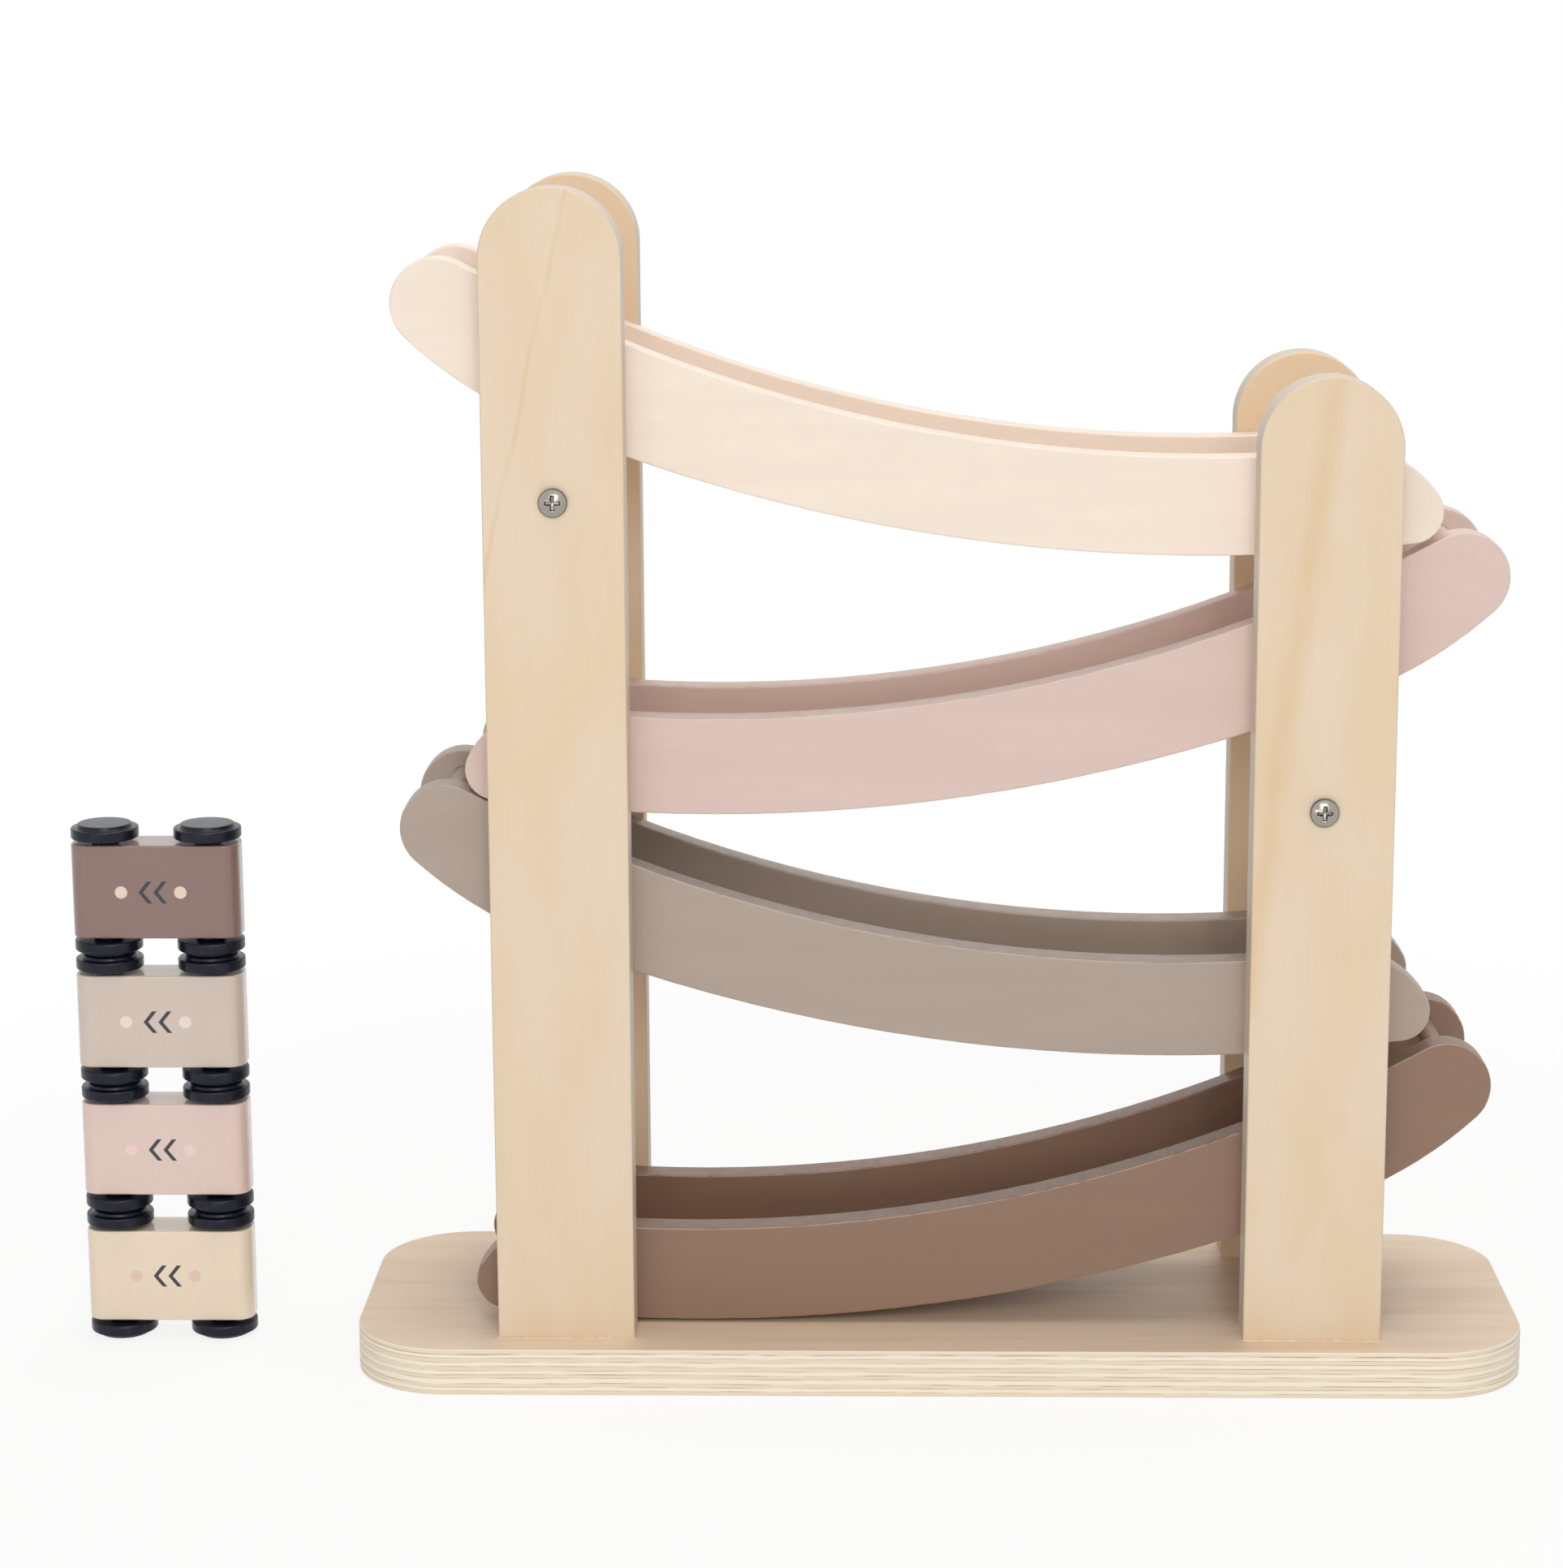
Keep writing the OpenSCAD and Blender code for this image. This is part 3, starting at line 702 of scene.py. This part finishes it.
dress(rounded_plate("base_board", AXIS_Z, BASE_ROUND, PLYWOOD), "frame", "ply", "base_board")
for post in POSTS:
    dress(rounded_plate(post, AXIS_Y, POST_ROUND, BIRCH), "frame", "birch", post)
for track in TRACKS:
    for side in ("front", "back"):
        rail = f"{track}_{side}_rail"
        dress(rounded_plate(rail, AXIS_Y, RAIL_ROUND, PAINT[track]), "frame", f"{track}_paint", rail)


# %% [markdown]
# ## Channel floors and stop dowels
# The floors lie in grooves and the dowels end inside the rails, so none of their edges is seen. Their packed
# solids already have the right shape, and a coat of the track's paint is all they need.

# %% Channel floors and stop dowels
def coat(node, material):
    """A solid whose shape is right keeps it and gets a finish."""
    frame["nodes"][node].data.materials.clear()
    frame["nodes"][node].data.materials.append(material)


for track in TRACKS:
    coat(f"{track}_floor", PAINT[track])
    coat(f"{track}_stop_dowel", PAINT[track])
print("painted as packed: floors and stop dowels of", TRACKS)

# %% [markdown]
# ## Beech and steel
# The round stretchers between the posts, and the pegs inside the joints, are turned beech: warmer than the
# birch, with the short dark flecks that mark it. Screws and axles are bright steel, a little dulled. The
# screw heads get painted shade at their rims and in their recesses. It could be painted by hand, but an
# attribute of the mesh puts the painted shade where the head meets the wood and in the recess.

# %% Beech and steel
BEECH_LIGHT = colour(223, 194, 156)
BEECH_DEEP = colour(201, 164, 122)
BEECH_FLECK = colour(160, 115, 76)
STEEL_TONE = colour(163, 157, 149)
# Painted shade: the dark gap round a screw head and the shade in its recess
STEEL_PAINTED_SHADE = colour(58, 50, 44)
BEECH_FIGURE = (4.0, 60.0, 4.0)
BEECH_FIBRE = (0.4, 12.0, 0.4)
FLECK_SIZE = (0.5, 3.0, 0.5)
FLECK_SHARE = 0.5
SMUDGE_SIZE = (1.6, 1.6, 1.6)
STEEL_PITS = (0.2, 0.2, 0.2)


def turned_beech():
    """Warm wood along Y with short dark flecks."""
    made, tree, shader, place = finish("turned_beech", {"Roughness": 0.5, "Specular IOR Level": 0.4})
    grain = effect(tree, GRAIN, Place=place, Figure_size=BEECH_FIGURE, Fibre_size=BEECH_FIBRE)
    flecks = ease(tree, cloud(tree, place, FLECK_SIZE, 1.0), 0.66, 0.72)
    tone = mix(tree, grain["Figure"], BEECH_LIGHT, BEECH_DEEP)
    tone = mix(tree, calc(tree, "MULTIPLY", flecks, FLECK_SHARE), tone, BEECH_FLECK)
    feed(tree, shader.inputs["Base Color"], tone)
    bump(tree, shader, grain["Height"], 0.05, 0.6)
    return made


def bright_steel():
    """Smudged steel, with painted shade where the mesh says so."""
    made, tree, shader, place = finish("bright_steel", {"Metallic": 1.0})
    # Painted shade, darker where the mesh stores it: at the rim of a screw head and in its recess
    tone = mix(tree, attribute(tree, "soil"), STEEL_TONE, STEEL_PAINTED_SHADE)
    feed(tree, shader.inputs["Base Color"], tone)
    vary_gloss(tree, shader, cloud(tree, place, SMUDGE_SIZE, 3.0), 0.14, 0.28)
    bump(tree, shader, cloud(tree, place, STEEL_PITS, 2.0), 0.01, 0.4)
    return made


BEECH = turned_beech()
STEEL = bright_steel()
for node in ("tall_stretcher", "short_stretcher", "rail_pegs"):
    coat(node, BEECH)
for car in CARS:
    coat(f"{car}_car_front_axle", STEEL)
    coat(f"{car}_car_rear_axle", STEEL)
print("finishes:", BEECH.name, STEEL.name)

# %% [markdown]
# ## Screws
# Two kinds repeat: pan heads on the posts, which hold the stretchers, and flat heads sunk in the underside of
# the base. The cross recess could be cut with a Boolean, which leaves ragged faces on so small a piece. Here
# a head is a disc of rings whose height follows a formula, so one function makes both kinds.

# %% One screw
SCREW_RINGS = 30
SCREW_SPOKES = 64
RECESS_ARM = 0.62 * MM
RECESS_REACH = 2.45 * MM
RECESS_DEEP = 1.6 * MM
RECESS_SLOPE = 0.28 * MM
RECESS_TAPER = 0.45
# Painted shade: where on the head the dark rim starts, and how dark the recess gets at its deepest
SHADE_FROM = 0.92
SHADE_IN_RECESS = 0.35


def recess_at(x, y):
    """Depth of a cross recess: four arms with sloping walls, deepest in the middle."""
    along = max(abs(x), abs(y))
    aside = min(abs(x), abs(y))
    wall = min(max((RECESS_ARM - aside) / RECESS_SLOPE, 0.0), 1.0)
    end = min(max((RECESS_REACH - along) / (2 * RECESS_SLOPE), 0.0), 1.0)
    return RECESS_DEEP * min(wall, end) * (1 - RECESS_TAPER * along / RECESS_REACH)


def ring_of(bm, radius, height):
    """A ring of points. The height is a number, or a function of X and Y."""
    ring = []
    for k in range(SCREW_SPOKES):
        a = 2 * math.pi * k / SCREW_SPOKES
        x = radius * math.cos(a)
        y = radius * math.sin(a)
        ring.append(bm.verts.new((x, y, height(x, y) if callable(height) else height)))
    return ring


def screw_mesh(name, head_r, crown, rim, neck, shank_r, length):
    """A screw along Z, its head upwards: crown is the rise of its dome, rim its edge, neck its cone."""
    bm = bmesh.new()
    soil = bm.verts.layers.float.new("soil")
    rings = []
    for i in range(1, SCREW_RINGS + 1):
        r = head_r * i / SCREW_RINGS
        dome = rim + crown * (1 - (r / head_r) ** 2)
        rings.append(ring_of(bm, r, lambda x, y: dome - recess_at(x, y)))
        # Painted shade: darker towards the rim, where the head meets the wood, and deeper in the recess
        rim_shade = max(0.0, (r / head_r - SHADE_FROM) / (1 - SHADE_FROM))
        for vert in rings[-1]:
            vert[soil] = max(rim_shade, SHADE_IN_RECESS * recess_at(vert.co.x, vert.co.y) / RECESS_DEEP)
    top = bm.verts.new((0, 0, rim + crown - recess_at(0, 0)))
    point_r = 0.1 * shank_r
    # The side of the head, the shank and the point take full painted shade
    for r, z in ((head_r, 0), (shank_r, -neck), (shank_r, -length), (point_r, -length - 2 * shank_r)):
        rings.append(ring_of(bm, r, z))
        for vert in rings[-1]:
            vert[soil] = 1.0
    for k in range(SCREW_SPOKES):
        after = (k + 1) % SCREW_SPOKES
        bm.faces.new((top, rings[0][k], rings[0][after]))
        for inner, outer in zip(rings, rings[1:]):
            bm.faces.new((inner[k], outer[k], outer[after], inner[after]))
    bm.faces.new(list(reversed(rings[-1])))
    bmesh.ops.recalc_face_normals(bm, faces=bm.faces)
    return new_piece(name, bm, STEEL)


print("a screw head has", SCREW_RINGS, "rings of", SCREW_SPOKES, "points")

# %% [markdown]
# ## A tree that sets screws
# Twelve screws could be copied and turned by hand. Geometry Nodes does it from points: the tree sets a screw
# on each one, with its head outwards, so a screw moves when its point moves.

# %% A tree that sets screws
def geometry_tree(name, inputs):
    """An empty Geometry Nodes tree with its named inputs and one geometry out."""
    tree = bpy.data.node_groups.new(name, "GeometryNodeTree")
    for label, kind in inputs.items():
        tree.interface.new_socket(label, in_out="INPUT", socket_type=kind)
    tree.interface.new_socket("Made", in_out="OUTPUT", socket_type="NodeSocketGeometry")
    return tree, tree.nodes.new("NodeGroupInput").outputs, tree.nodes.new("NodeGroupOutput").inputs


def set_screws_tree():
    """A screw on every point. The head's side is given for the back and turned round for the front."""
    inputs = {"Places": "NodeSocketGeometry", "Screw": "NodeSocketObject"}
    inputs |= {"Head side": ARROW, "Finish": "NodeSocketMaterial"}
    tree, given, result = geometry_tree("set_screws", inputs)
    where = put(tree, "GeometryNodeInputPosition").outputs[0]
    side = calc(tree, "SIGN", put(tree, "ShaderNodeSeparateXYZ", {0: where}).outputs["Y"])
    turned = put(tree, "ShaderNodeCombineXYZ", {"X": 1.0, "Y": side, "Z": 1.0}).outputs[0]
    facing = put(tree, "ShaderNodeVectorMath", {0: given["Head side"], 1: turned}, operation="MULTIPLY")
    aim = put(tree, "FunctionNodeAlignRotationToVector", {"Vector": facing.outputs[0]}, axis="Z")
    screw = put(tree, "GeometryNodeObjectInfo", {"Object": given["Screw"]})
    sockets = {"Points": given["Places"], "Instance": screw.outputs["Geometry"], "Rotation": aim.outputs[0]}
    placed = put(tree, "GeometryNodeInstanceOnPoints", sockets).outputs[0]
    solid = put(tree, "GeometryNodeRealizeInstances", {0: placed}).outputs[0]
    coated = put(tree, "GeometryNodeSetMaterial", {0: solid, "Material": given["Finish"]}).outputs[0]
    feed(tree, result["Made"], coated)
    return tree


def grown(name, points, edges, tree, **values):
    """A host mesh of points and edges, run through a Geometry Nodes tree and settled."""
    host = bpy.data.meshes.new(name)
    host.from_pydata(points, edges, [])
    made = bpy.data.objects.new(name, host)
    scene.collection.objects.link(made)
    modifier = made.modifiers.new(tree.name, "NODES")
    modifier.node_group = tree
    for item in tree.interface.items_tree:
        label = item.name.replace(" ", "_")
        if item.in_out == "INPUT" and label in values:
            modifier[item.identifier] = values[label]
    return settled(made)


SET_SCREWS = set_screws_tree()
print("tree:", SET_SCREWS.name, "with", len(SET_SCREWS.nodes), "nodes")

# %% [markdown]
# ## Setting the screws
# The pan heads sit on the posts where the stretchers end, and the flat heads in pairs under each post. Both
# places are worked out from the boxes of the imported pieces, so the screws follow when a post moves.

# %% Setting the screws
PAN_SCREW = {
    "head_r": 4.4 * MM, "crown": 1.5 * MM, "rim": 1.3 * MM,
    "neck": 0.0, "shank_r": 2.0 * MM, "length": 32.0 * MM,
}
FLAT_SCREW = {
    "head_r": 4.0 * MM, "crown": 0.0, "rim": 0.0,
    "neck": 2.0 * MM, "shank_r": 2.0 * MM, "length": 33.0 * MM,
}
FOOT_SINK = 0.8 * MM
FOOT_PITCH = 22.0 * MM


def middle(node):
    """The middle of a node's box."""
    low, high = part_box(node)
    return (low + high) / 2


def set_screws(name, places, head_side, sizes):
    """Screws of one kind at their places. The pattern that the tree copies is removed again."""
    pattern = screw_mesh(f"{name}_pattern", **sizes)
    made = grown(name, places, [], SET_SCREWS, Screw=pattern, Head_side=head_side, Finish=STEEL)
    bpy.data.objects.remove(pattern)
    return made


def stretcher_screws():
    """Pan heads on the outer faces of the posts, one at each end of a stretcher."""
    places = []
    for kind in ("tall", "short"):
        centre = middle(f"{kind}_stretcher")
        for side in ("front", "back"):
            low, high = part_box(f"{side}_{kind}_post")
            face = low.y if side == "front" else high.y
            places.append((centre.x, face, centre.z))
    return set_screws("pan_screws", places, (0.0, 1.0, 0.0), PAN_SCREW)


def foot_screws():
    """Flat heads in the underside of the base, two below each post."""
    places = []
    for post in POSTS:
        centre = middle(post)
        places += [(centre.x + s * FOOT_PITCH / 2, centre.y, FOOT_SINK) for s in (-1, 1)]
    return set_screws("sunk_screws", places, (0.0, 0.0, -1.0), FLAT_SCREW)


dress(stretcher_screws(), "frame", "steel", "stretcher_screws")
dress(foot_screws(), "frame", "steel", "foot_screws")

# %% [markdown]
# ## Glue at the feet
# The posts are glued to the base as well as screwed. A little glue was pressed out round each foot and dried
# as an uneven pale bead. It follows a path, so a Geometry Nodes tree runs a small round section along the
# outline of each foot and lets a noise swell and thin it.

# %% Dried glue
GLUE_TONE = colour(229, 207, 177)
GLUE_DEEP = colour(214, 184, 148)
GLUE_LUMP_SIZE = (2.0, 2.0, 2.0)
BEAD_STEPS = 220
BEAD_SIDES = 8
BEAD_THIN = 0.2


def dried_glue():
    """Lumpy glue, glossy in parts."""
    made, tree, shader, place = finish("dried_glue", {"Specular IOR Level": 0.5})
    lumps = cloud(tree, place, GLUE_LUMP_SIZE, 3.0)
    feed(tree, shader.inputs["Base Color"], mix(tree, ease(tree, lumps, 0.3, 0.7), GLUE_TONE, GLUE_DEEP))
    vary_gloss(tree, shader, lumps, 0.25, 0.45)
    bump(tree, shader, lumps, 0.05, 0.5)
    return made


def glue_bead_tree():
    """A bead along a path, swollen and thinned by a noise."""
    inputs = {"Path": "NodeSocketGeometry", "Thickness": NUMBER, "Swelling": NUMBER, "Lumps": NUMBER}
    inputs |= {"Finish": "NodeSocketMaterial"}
    tree, given, result = geometry_tree("glue_bead", inputs)
    line = put(tree, "GeometryNodeMeshToCurve", {0: given["Path"]}).outputs[0]
    sockets = {"Curve": line, "Count": BEAD_STEPS}
    dense = put(tree, "GeometryNodeResampleCurve", sockets, mode="COUNT").outputs[0]
    where = put(tree, "GeometryNodeInputPosition").outputs[0]
    noise = put(tree, "ShaderNodeTexNoise", {"Vector": where, "Scale": given["Lumps"]}).outputs[0]
    sockets = {"Value": noise, "From Min": 0.4, "From Max": 0.7}
    sockets |= {"To Min": BEAD_THIN, "To Max": given["Swelling"]}
    swell = put(tree, "ShaderNodeMapRange", sockets).outputs[0]
    uneven = put(tree, "GeometryNodeSetCurveRadius", {"Curve": dense, "Radius": swell}).outputs[0]
    sockets = {"Resolution": BEAD_SIDES, "Radius": given["Thickness"]}
    section = put(tree, "GeometryNodeCurvePrimitiveCircle", sockets).outputs[0]
    sockets = {"Curve": uneven, "Profile Curve": section}
    swept = put(tree, "GeometryNodeCurveToMesh", sockets).outputs[0]
    solid = put(tree, "GeometryNodeRealizeInstances", {0: swept}).outputs[0]
    coated = put(tree, "GeometryNodeSetMaterial", {0: solid, "Material": given["Finish"]}).outputs[0]
    feed(tree, result["Made"], coated)
    return tree


GLUE = dried_glue()
GLUE_BEAD = glue_bead_tree()
print("finish:", GLUE.name, "and tree:", GLUE_BEAD.name)

# %% [markdown]
# ## Glue beads
# The path of a bead is the outline of a foot, four points and four edges from the box of its post. A tree can
# leave faces that look inwards, so the grown mesh is welded and its faces are turned outwards. The wheels
# below go through the same function.

# %% Glue beads
GLUE_R = 0.45 * MM
GLUE_SWELLING = 1.5
GLUE_LUMPS = 110.0


def outward(grown_piece, material):
    """A grown piece made anew: points that coincide welded, every face turned outwards."""
    name = grown_piece.name
    bm = bmesh.new()
    bm.from_mesh(grown_piece.data)
    bmesh.ops.remove_doubles(bm, verts=bm.verts, dist=WELD)
    bmesh.ops.recalc_face_normals(bm, faces=bm.faces)
    bpy.data.objects.remove(grown_piece)
    return new_piece(name, bm, material)


def glue_beads():
    """A bead round the foot of each post."""
    points = []
    edges = []
    for post in POSTS:
        low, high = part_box(post)
        first = len(points)
        foot = ((low.x, low.y), (high.x, low.y), (high.x, high.y), (low.x, high.y))
        points += [(x, y, low.z) for x, y in foot]
        edges += [(first + k, first + (k + 1) % len(foot)) for k in range(len(foot))]
    made = grown(
        "glue_beads", points, edges, GLUE_BEAD,
        Thickness=GLUE_R, Swelling=GLUE_SWELLING, Lumps=GLUE_LUMPS, Finish=GLUE,
    )
    return outward(made, GLUE)


dress(glue_beads(), "frame", "birch")

# %% [markdown]
# ## Wheels
# Each wheel is one moulding in navy plastic: a boss towards the car, the tread, and a hub cap. Handling has
# hazed the gloss, which one soft noise says in both the colour and the roughness.

# %% Moulded plastic
NAVY = colour(20, 23, 36)
NAVY_WORN = colour(30, 34, 48)
HAZE_SIZE = (3.0, 3.0, 3.0)
MOULD_RIPPLE = (1.2, 1.2, 1.2)


def moulded_navy():
    """Hazed plastic with the faint ripple of a moulding."""
    made, tree, shader, place = finish("moulded_navy", {"Specular IOR Level": 0.25})
    haze = cloud(tree, place, HAZE_SIZE, 4.0)
    feed(tree, shader.inputs["Base Color"], mix(tree, ease(tree, haze, 0.45, 0.75), NAVY, NAVY_WORN))
    vary_gloss(tree, shader, haze, 0.16, 0.32)
    bump(tree, shader, cloud(tree, place, MOULD_RIPPLE, 2.0), 0.02, 0.4)
    return made


PLASTIC = moulded_navy()
print("finish:", PLASTIC.name)

# %% [markdown]
# ## A tree that turns a half section
# A wheel could be a stack of cylinders, each with its own bevel. It is a turned shape, so a Geometry Nodes
# tree does what a lathe does: it rounds the corners of half a section and sweeps that round the axle.

# %% A tree that turns a half section
CORNER_STEPS = 4


def turned_tree():
    """Rounds the corners of a half section, drawn in X and Y, and sweeps it round the axis."""
    inputs = {"Section": "NodeSocketGeometry", "Corner": NUMBER, "Spokes": "NodeSocketInt"}
    inputs |= {"Ring": NUMBER, "Finish": "NodeSocketMaterial"}
    tree, given, result = geometry_tree("turn_section", inputs)
    line = put(tree, "GeometryNodeMeshToCurve", {0: given["Section"]}).outputs[0]
    sockets = {"Curve": line, "Radius": given["Corner"], "Limit Radius": True, "Count": CORNER_STEPS}
    soft = put(tree, "GeometryNodeFilletCurve", sockets, mode="POLY").outputs[0]
    sockets = {"Resolution": given["Spokes"], "Radius": given["Ring"]}
    ring = put(tree, "GeometryNodeCurvePrimitiveCircle", sockets).outputs[0]
    swept = put(tree, "GeometryNodeCurveToMesh", {"Curve": ring, "Profile Curve": soft}).outputs[0]
    welded = put(tree, "GeometryNodeMergeByDistance", {"Geometry": swept, "Distance": WELD}).outputs[0]
    solid = put(tree, "GeometryNodeRealizeInstances", {0: welded}).outputs[0]
    coated = put(tree, "GeometryNodeSetMaterial", {0: solid, "Material": given["Finish"]}).outputs[0]
    feed(tree, result["Made"], coated)
    return tree


TURNED = turned_tree()
print("tree:", TURNED.name, "with", len(TURNED.nodes), "nodes")

# %% [markdown]
# ## Turning the wheels
# The half section has only the corners that the moulding has, from the blind bore to the middle of the cap.
# Every wheel turns by itself on its axle, so each becomes its own piece and rides on its own body.

# %% Turning the wheels
SWEEP_RING = 1.0 * MM
WHEEL_SPOKES = 96
WHEEL_CORNER = 0.6 * MM
BORE_R = 1.55 * MM
BOSS_R = 4.6 * MM
TREAD_R = 10.8 * MM
CAP_R = 8.7 * MM
BOSS_H = 1.1 * MM
TREAD_H = 4.6 * MM
CAP_H = 5.8 * MM
WHEEL_SECTION = (
    (0.0, TREAD_H), (BORE_R, TREAD_H), (BORE_R, 0.0), (BOSS_R, 0.0), (BOSS_R, BOSS_H), (TREAD_R, BOSS_H),
    (TREAD_R, TREAD_H), (CAP_R, TREAD_H), (CAP_R, CAP_H), (0.0, CAP_H),
)


def wheel(node, upward):
    """A wheel in the place of its node, its cap up or down."""
    points = [(r - SWEEP_RING, -h, 0.0) for r, h in WHEEL_SECTION]
    steps = [(i, i + 1) for i in range(len(points) - 1)]
    made = grown(
        f"{node}_turned", points, steps, TURNED,
        Corner=WHEEL_CORNER, Spokes=WHEEL_SPOKES, Ring=SWEEP_RING, Finish=PLASTIC,
    )
    low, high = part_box(node)
    foot = low.z if upward else high.z
    half_turn = Matrix.Identity(4) if upward else Matrix.Rotation(math.pi, 4, "X")
    made.data.transform(Matrix.Translation((middle(node).x, middle(node).y, foot)) @ half_turn)
    return outward(made, PLASTIC)


for car in CARS:
    for end in ("front", "rear"):
        for side in ("left", "right"):
            node = f"{car}_car_{end}_{side}_wheel"
            dress(wheel(node, side == "right"), f"{car}_{end}_{side}_wheel", "wheel_navy", node)

# %% [markdown]
# ## Car coats
# A car wears a glossy coat that lets the grain show as fine ridges across it. A small print sits on the roof:
# two charcoal chevrons that point to the nose, with a pale dot before and behind them. It could be a picture
# on an unwrapped face; a few distances in the shader draw it sharp at any size, in the colour of the coat.

# %% Car coats
CAR_GLOSS = {
    "brown": colour(138, 110, 101),
    "taupe": colour(212, 195, 181),
    "pink": colour(227, 202, 190),
    "cream": colour(239, 220, 195),
}
CAR_DOT = {
    "brown": colour(233, 209, 191),
    "taupe": colour(238, 218, 206),
    "pink": colour(240, 206, 200),
    "cream": colour(229, 199, 184),
}
CHARCOAL = colour(38, 40, 50)
PRINT_STROKE = 0.75
PRINT_HALF = 3.6
PRINT_LEAN = 0.8
CHEVRON_AT = (-4.2, 0.6)
DOT_AT = (-10.5, 8.5)
DOT_R = 2.0
PRINT_SOFT = 0.12
ROOF_SKIN = 0.1
CAR_FIGURE = (12.0, 12.0, 30.0)
CAR_FIBRE = (0.3, 0.3, 5.0)
CAR_DEEP = 0.9
CAR_FIBRE_SHARE = 0.5
CAR_COAT = {"Specular IOR Level": 0.4, "Coat Weight": 0.7, "Coat Roughness": 0.07}


def within(tree, distance, reach):
    """1 nearer than reach and 0 beyond it, with the soft rim of printed ink."""
    return calc(tree, "SUBTRACT", 1.0, ease(tree, distance, reach - PRINT_SOFT, reach + PRINT_SOFT))


def chevrons(tree, at):
    """Where the two chevrons are: strokes that lean back from the middle line of the roof."""
    up = calc(tree, "ABSOLUTE", at["Z"])
    shown = 0.0
    for start in CHEVRON_AT:
        lean = calc(tree, "MULTIPLY_ADD", up, PRINT_LEAN, start)
        away = calc(tree, "ABSOLUTE", calc(tree, "SUBTRACT", at["X"], lean))
        stroke = calc(tree, "MULTIPLY", within(tree, away, PRINT_STROKE), within(tree, up, PRINT_HALF))
        shown = calc(tree, "MAXIMUM", shown, stroke)
    return shown


def dots(tree, local, at):
    """Where the two dots are."""
    shown = 0.0
    for start in DOT_AT:
        spot = put(tree, "ShaderNodeCombineXYZ", {"X": start, "Y": at["Y"], "Z": 0.0}).outputs[0]
        away = put(tree, "ShaderNodeVectorMath", {0: local, 1: spot}, operation="DISTANCE").outputs["Value"]
        shown = calc(tree, "MAXIMUM", shown, within(tree, away, DOT_R))
    return shown


def car_gloss(name):
    """The glossy coat of one car, with the print on its roof."""
    made, tree, shader, place = finish(f"{name}_gloss", CAR_COAT)
    centre = middle(f"{name}_car_body") / MM
    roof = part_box(f"{name}_car_body")[0].y / MM
    local = put(tree, "ShaderNodeVectorMath", {0: place, 1: centre}, operation="SUBTRACT").outputs[0]
    at = put(tree, "ShaderNodeSeparateXYZ", {0: local}).outputs
    on_roof = calc(tree, "LESS_THAN", at["Y"], roof - centre.y + ROOF_SKIN)
    grain = effect(tree, GRAIN, Place=place, Figure_size=CAR_FIGURE, Fibre_size=CAR_FIBRE)
    base = CAR_GLOSS[name]
    tone = mix(tree, calc(tree, "MULTIPLY", grain["Fibre"], CAR_FIBRE_SHARE), base, deepened(base, CAR_DEEP))
    tone = mix(tree, calc(tree, "MULTIPLY", chevrons(tree, at), on_roof), tone, CHARCOAL)
    tone = mix(tree, calc(tree, "MULTIPLY", dots(tree, local, at), on_roof), tone, CAR_DOT[name])
    feed(tree, shader.inputs["Base Color"], tone)
    vary_gloss(tree, shader, grain["Fibre"], 0.2, 0.32)
    bump(tree, shader, grain["Height"], 0.05, 0.5)
    return made


GLOSS = {name: car_gloss(name) for name in CARS}
print("car coats:", [m.name for m in GLOSS.values()])

# %% [markdown]
# ## Car bodies
# A car is a block with a round nose and tail, which its solid has already. What is left are the sharp rims of
# its two sides, towards the wheels. A car is also a plate, lying on its side, so the boards' function serves.

# %% Car bodies
CAR_ROUND = 0.6 * MM
for car in CARS:
    body = f"{car}_car_body"
    dress(rounded_plate(body, AXIS_Z, CAR_ROUND, GLOSS[car]), f"{car}_car", f"{car}_gloss", body)
print("cars:", CARS)
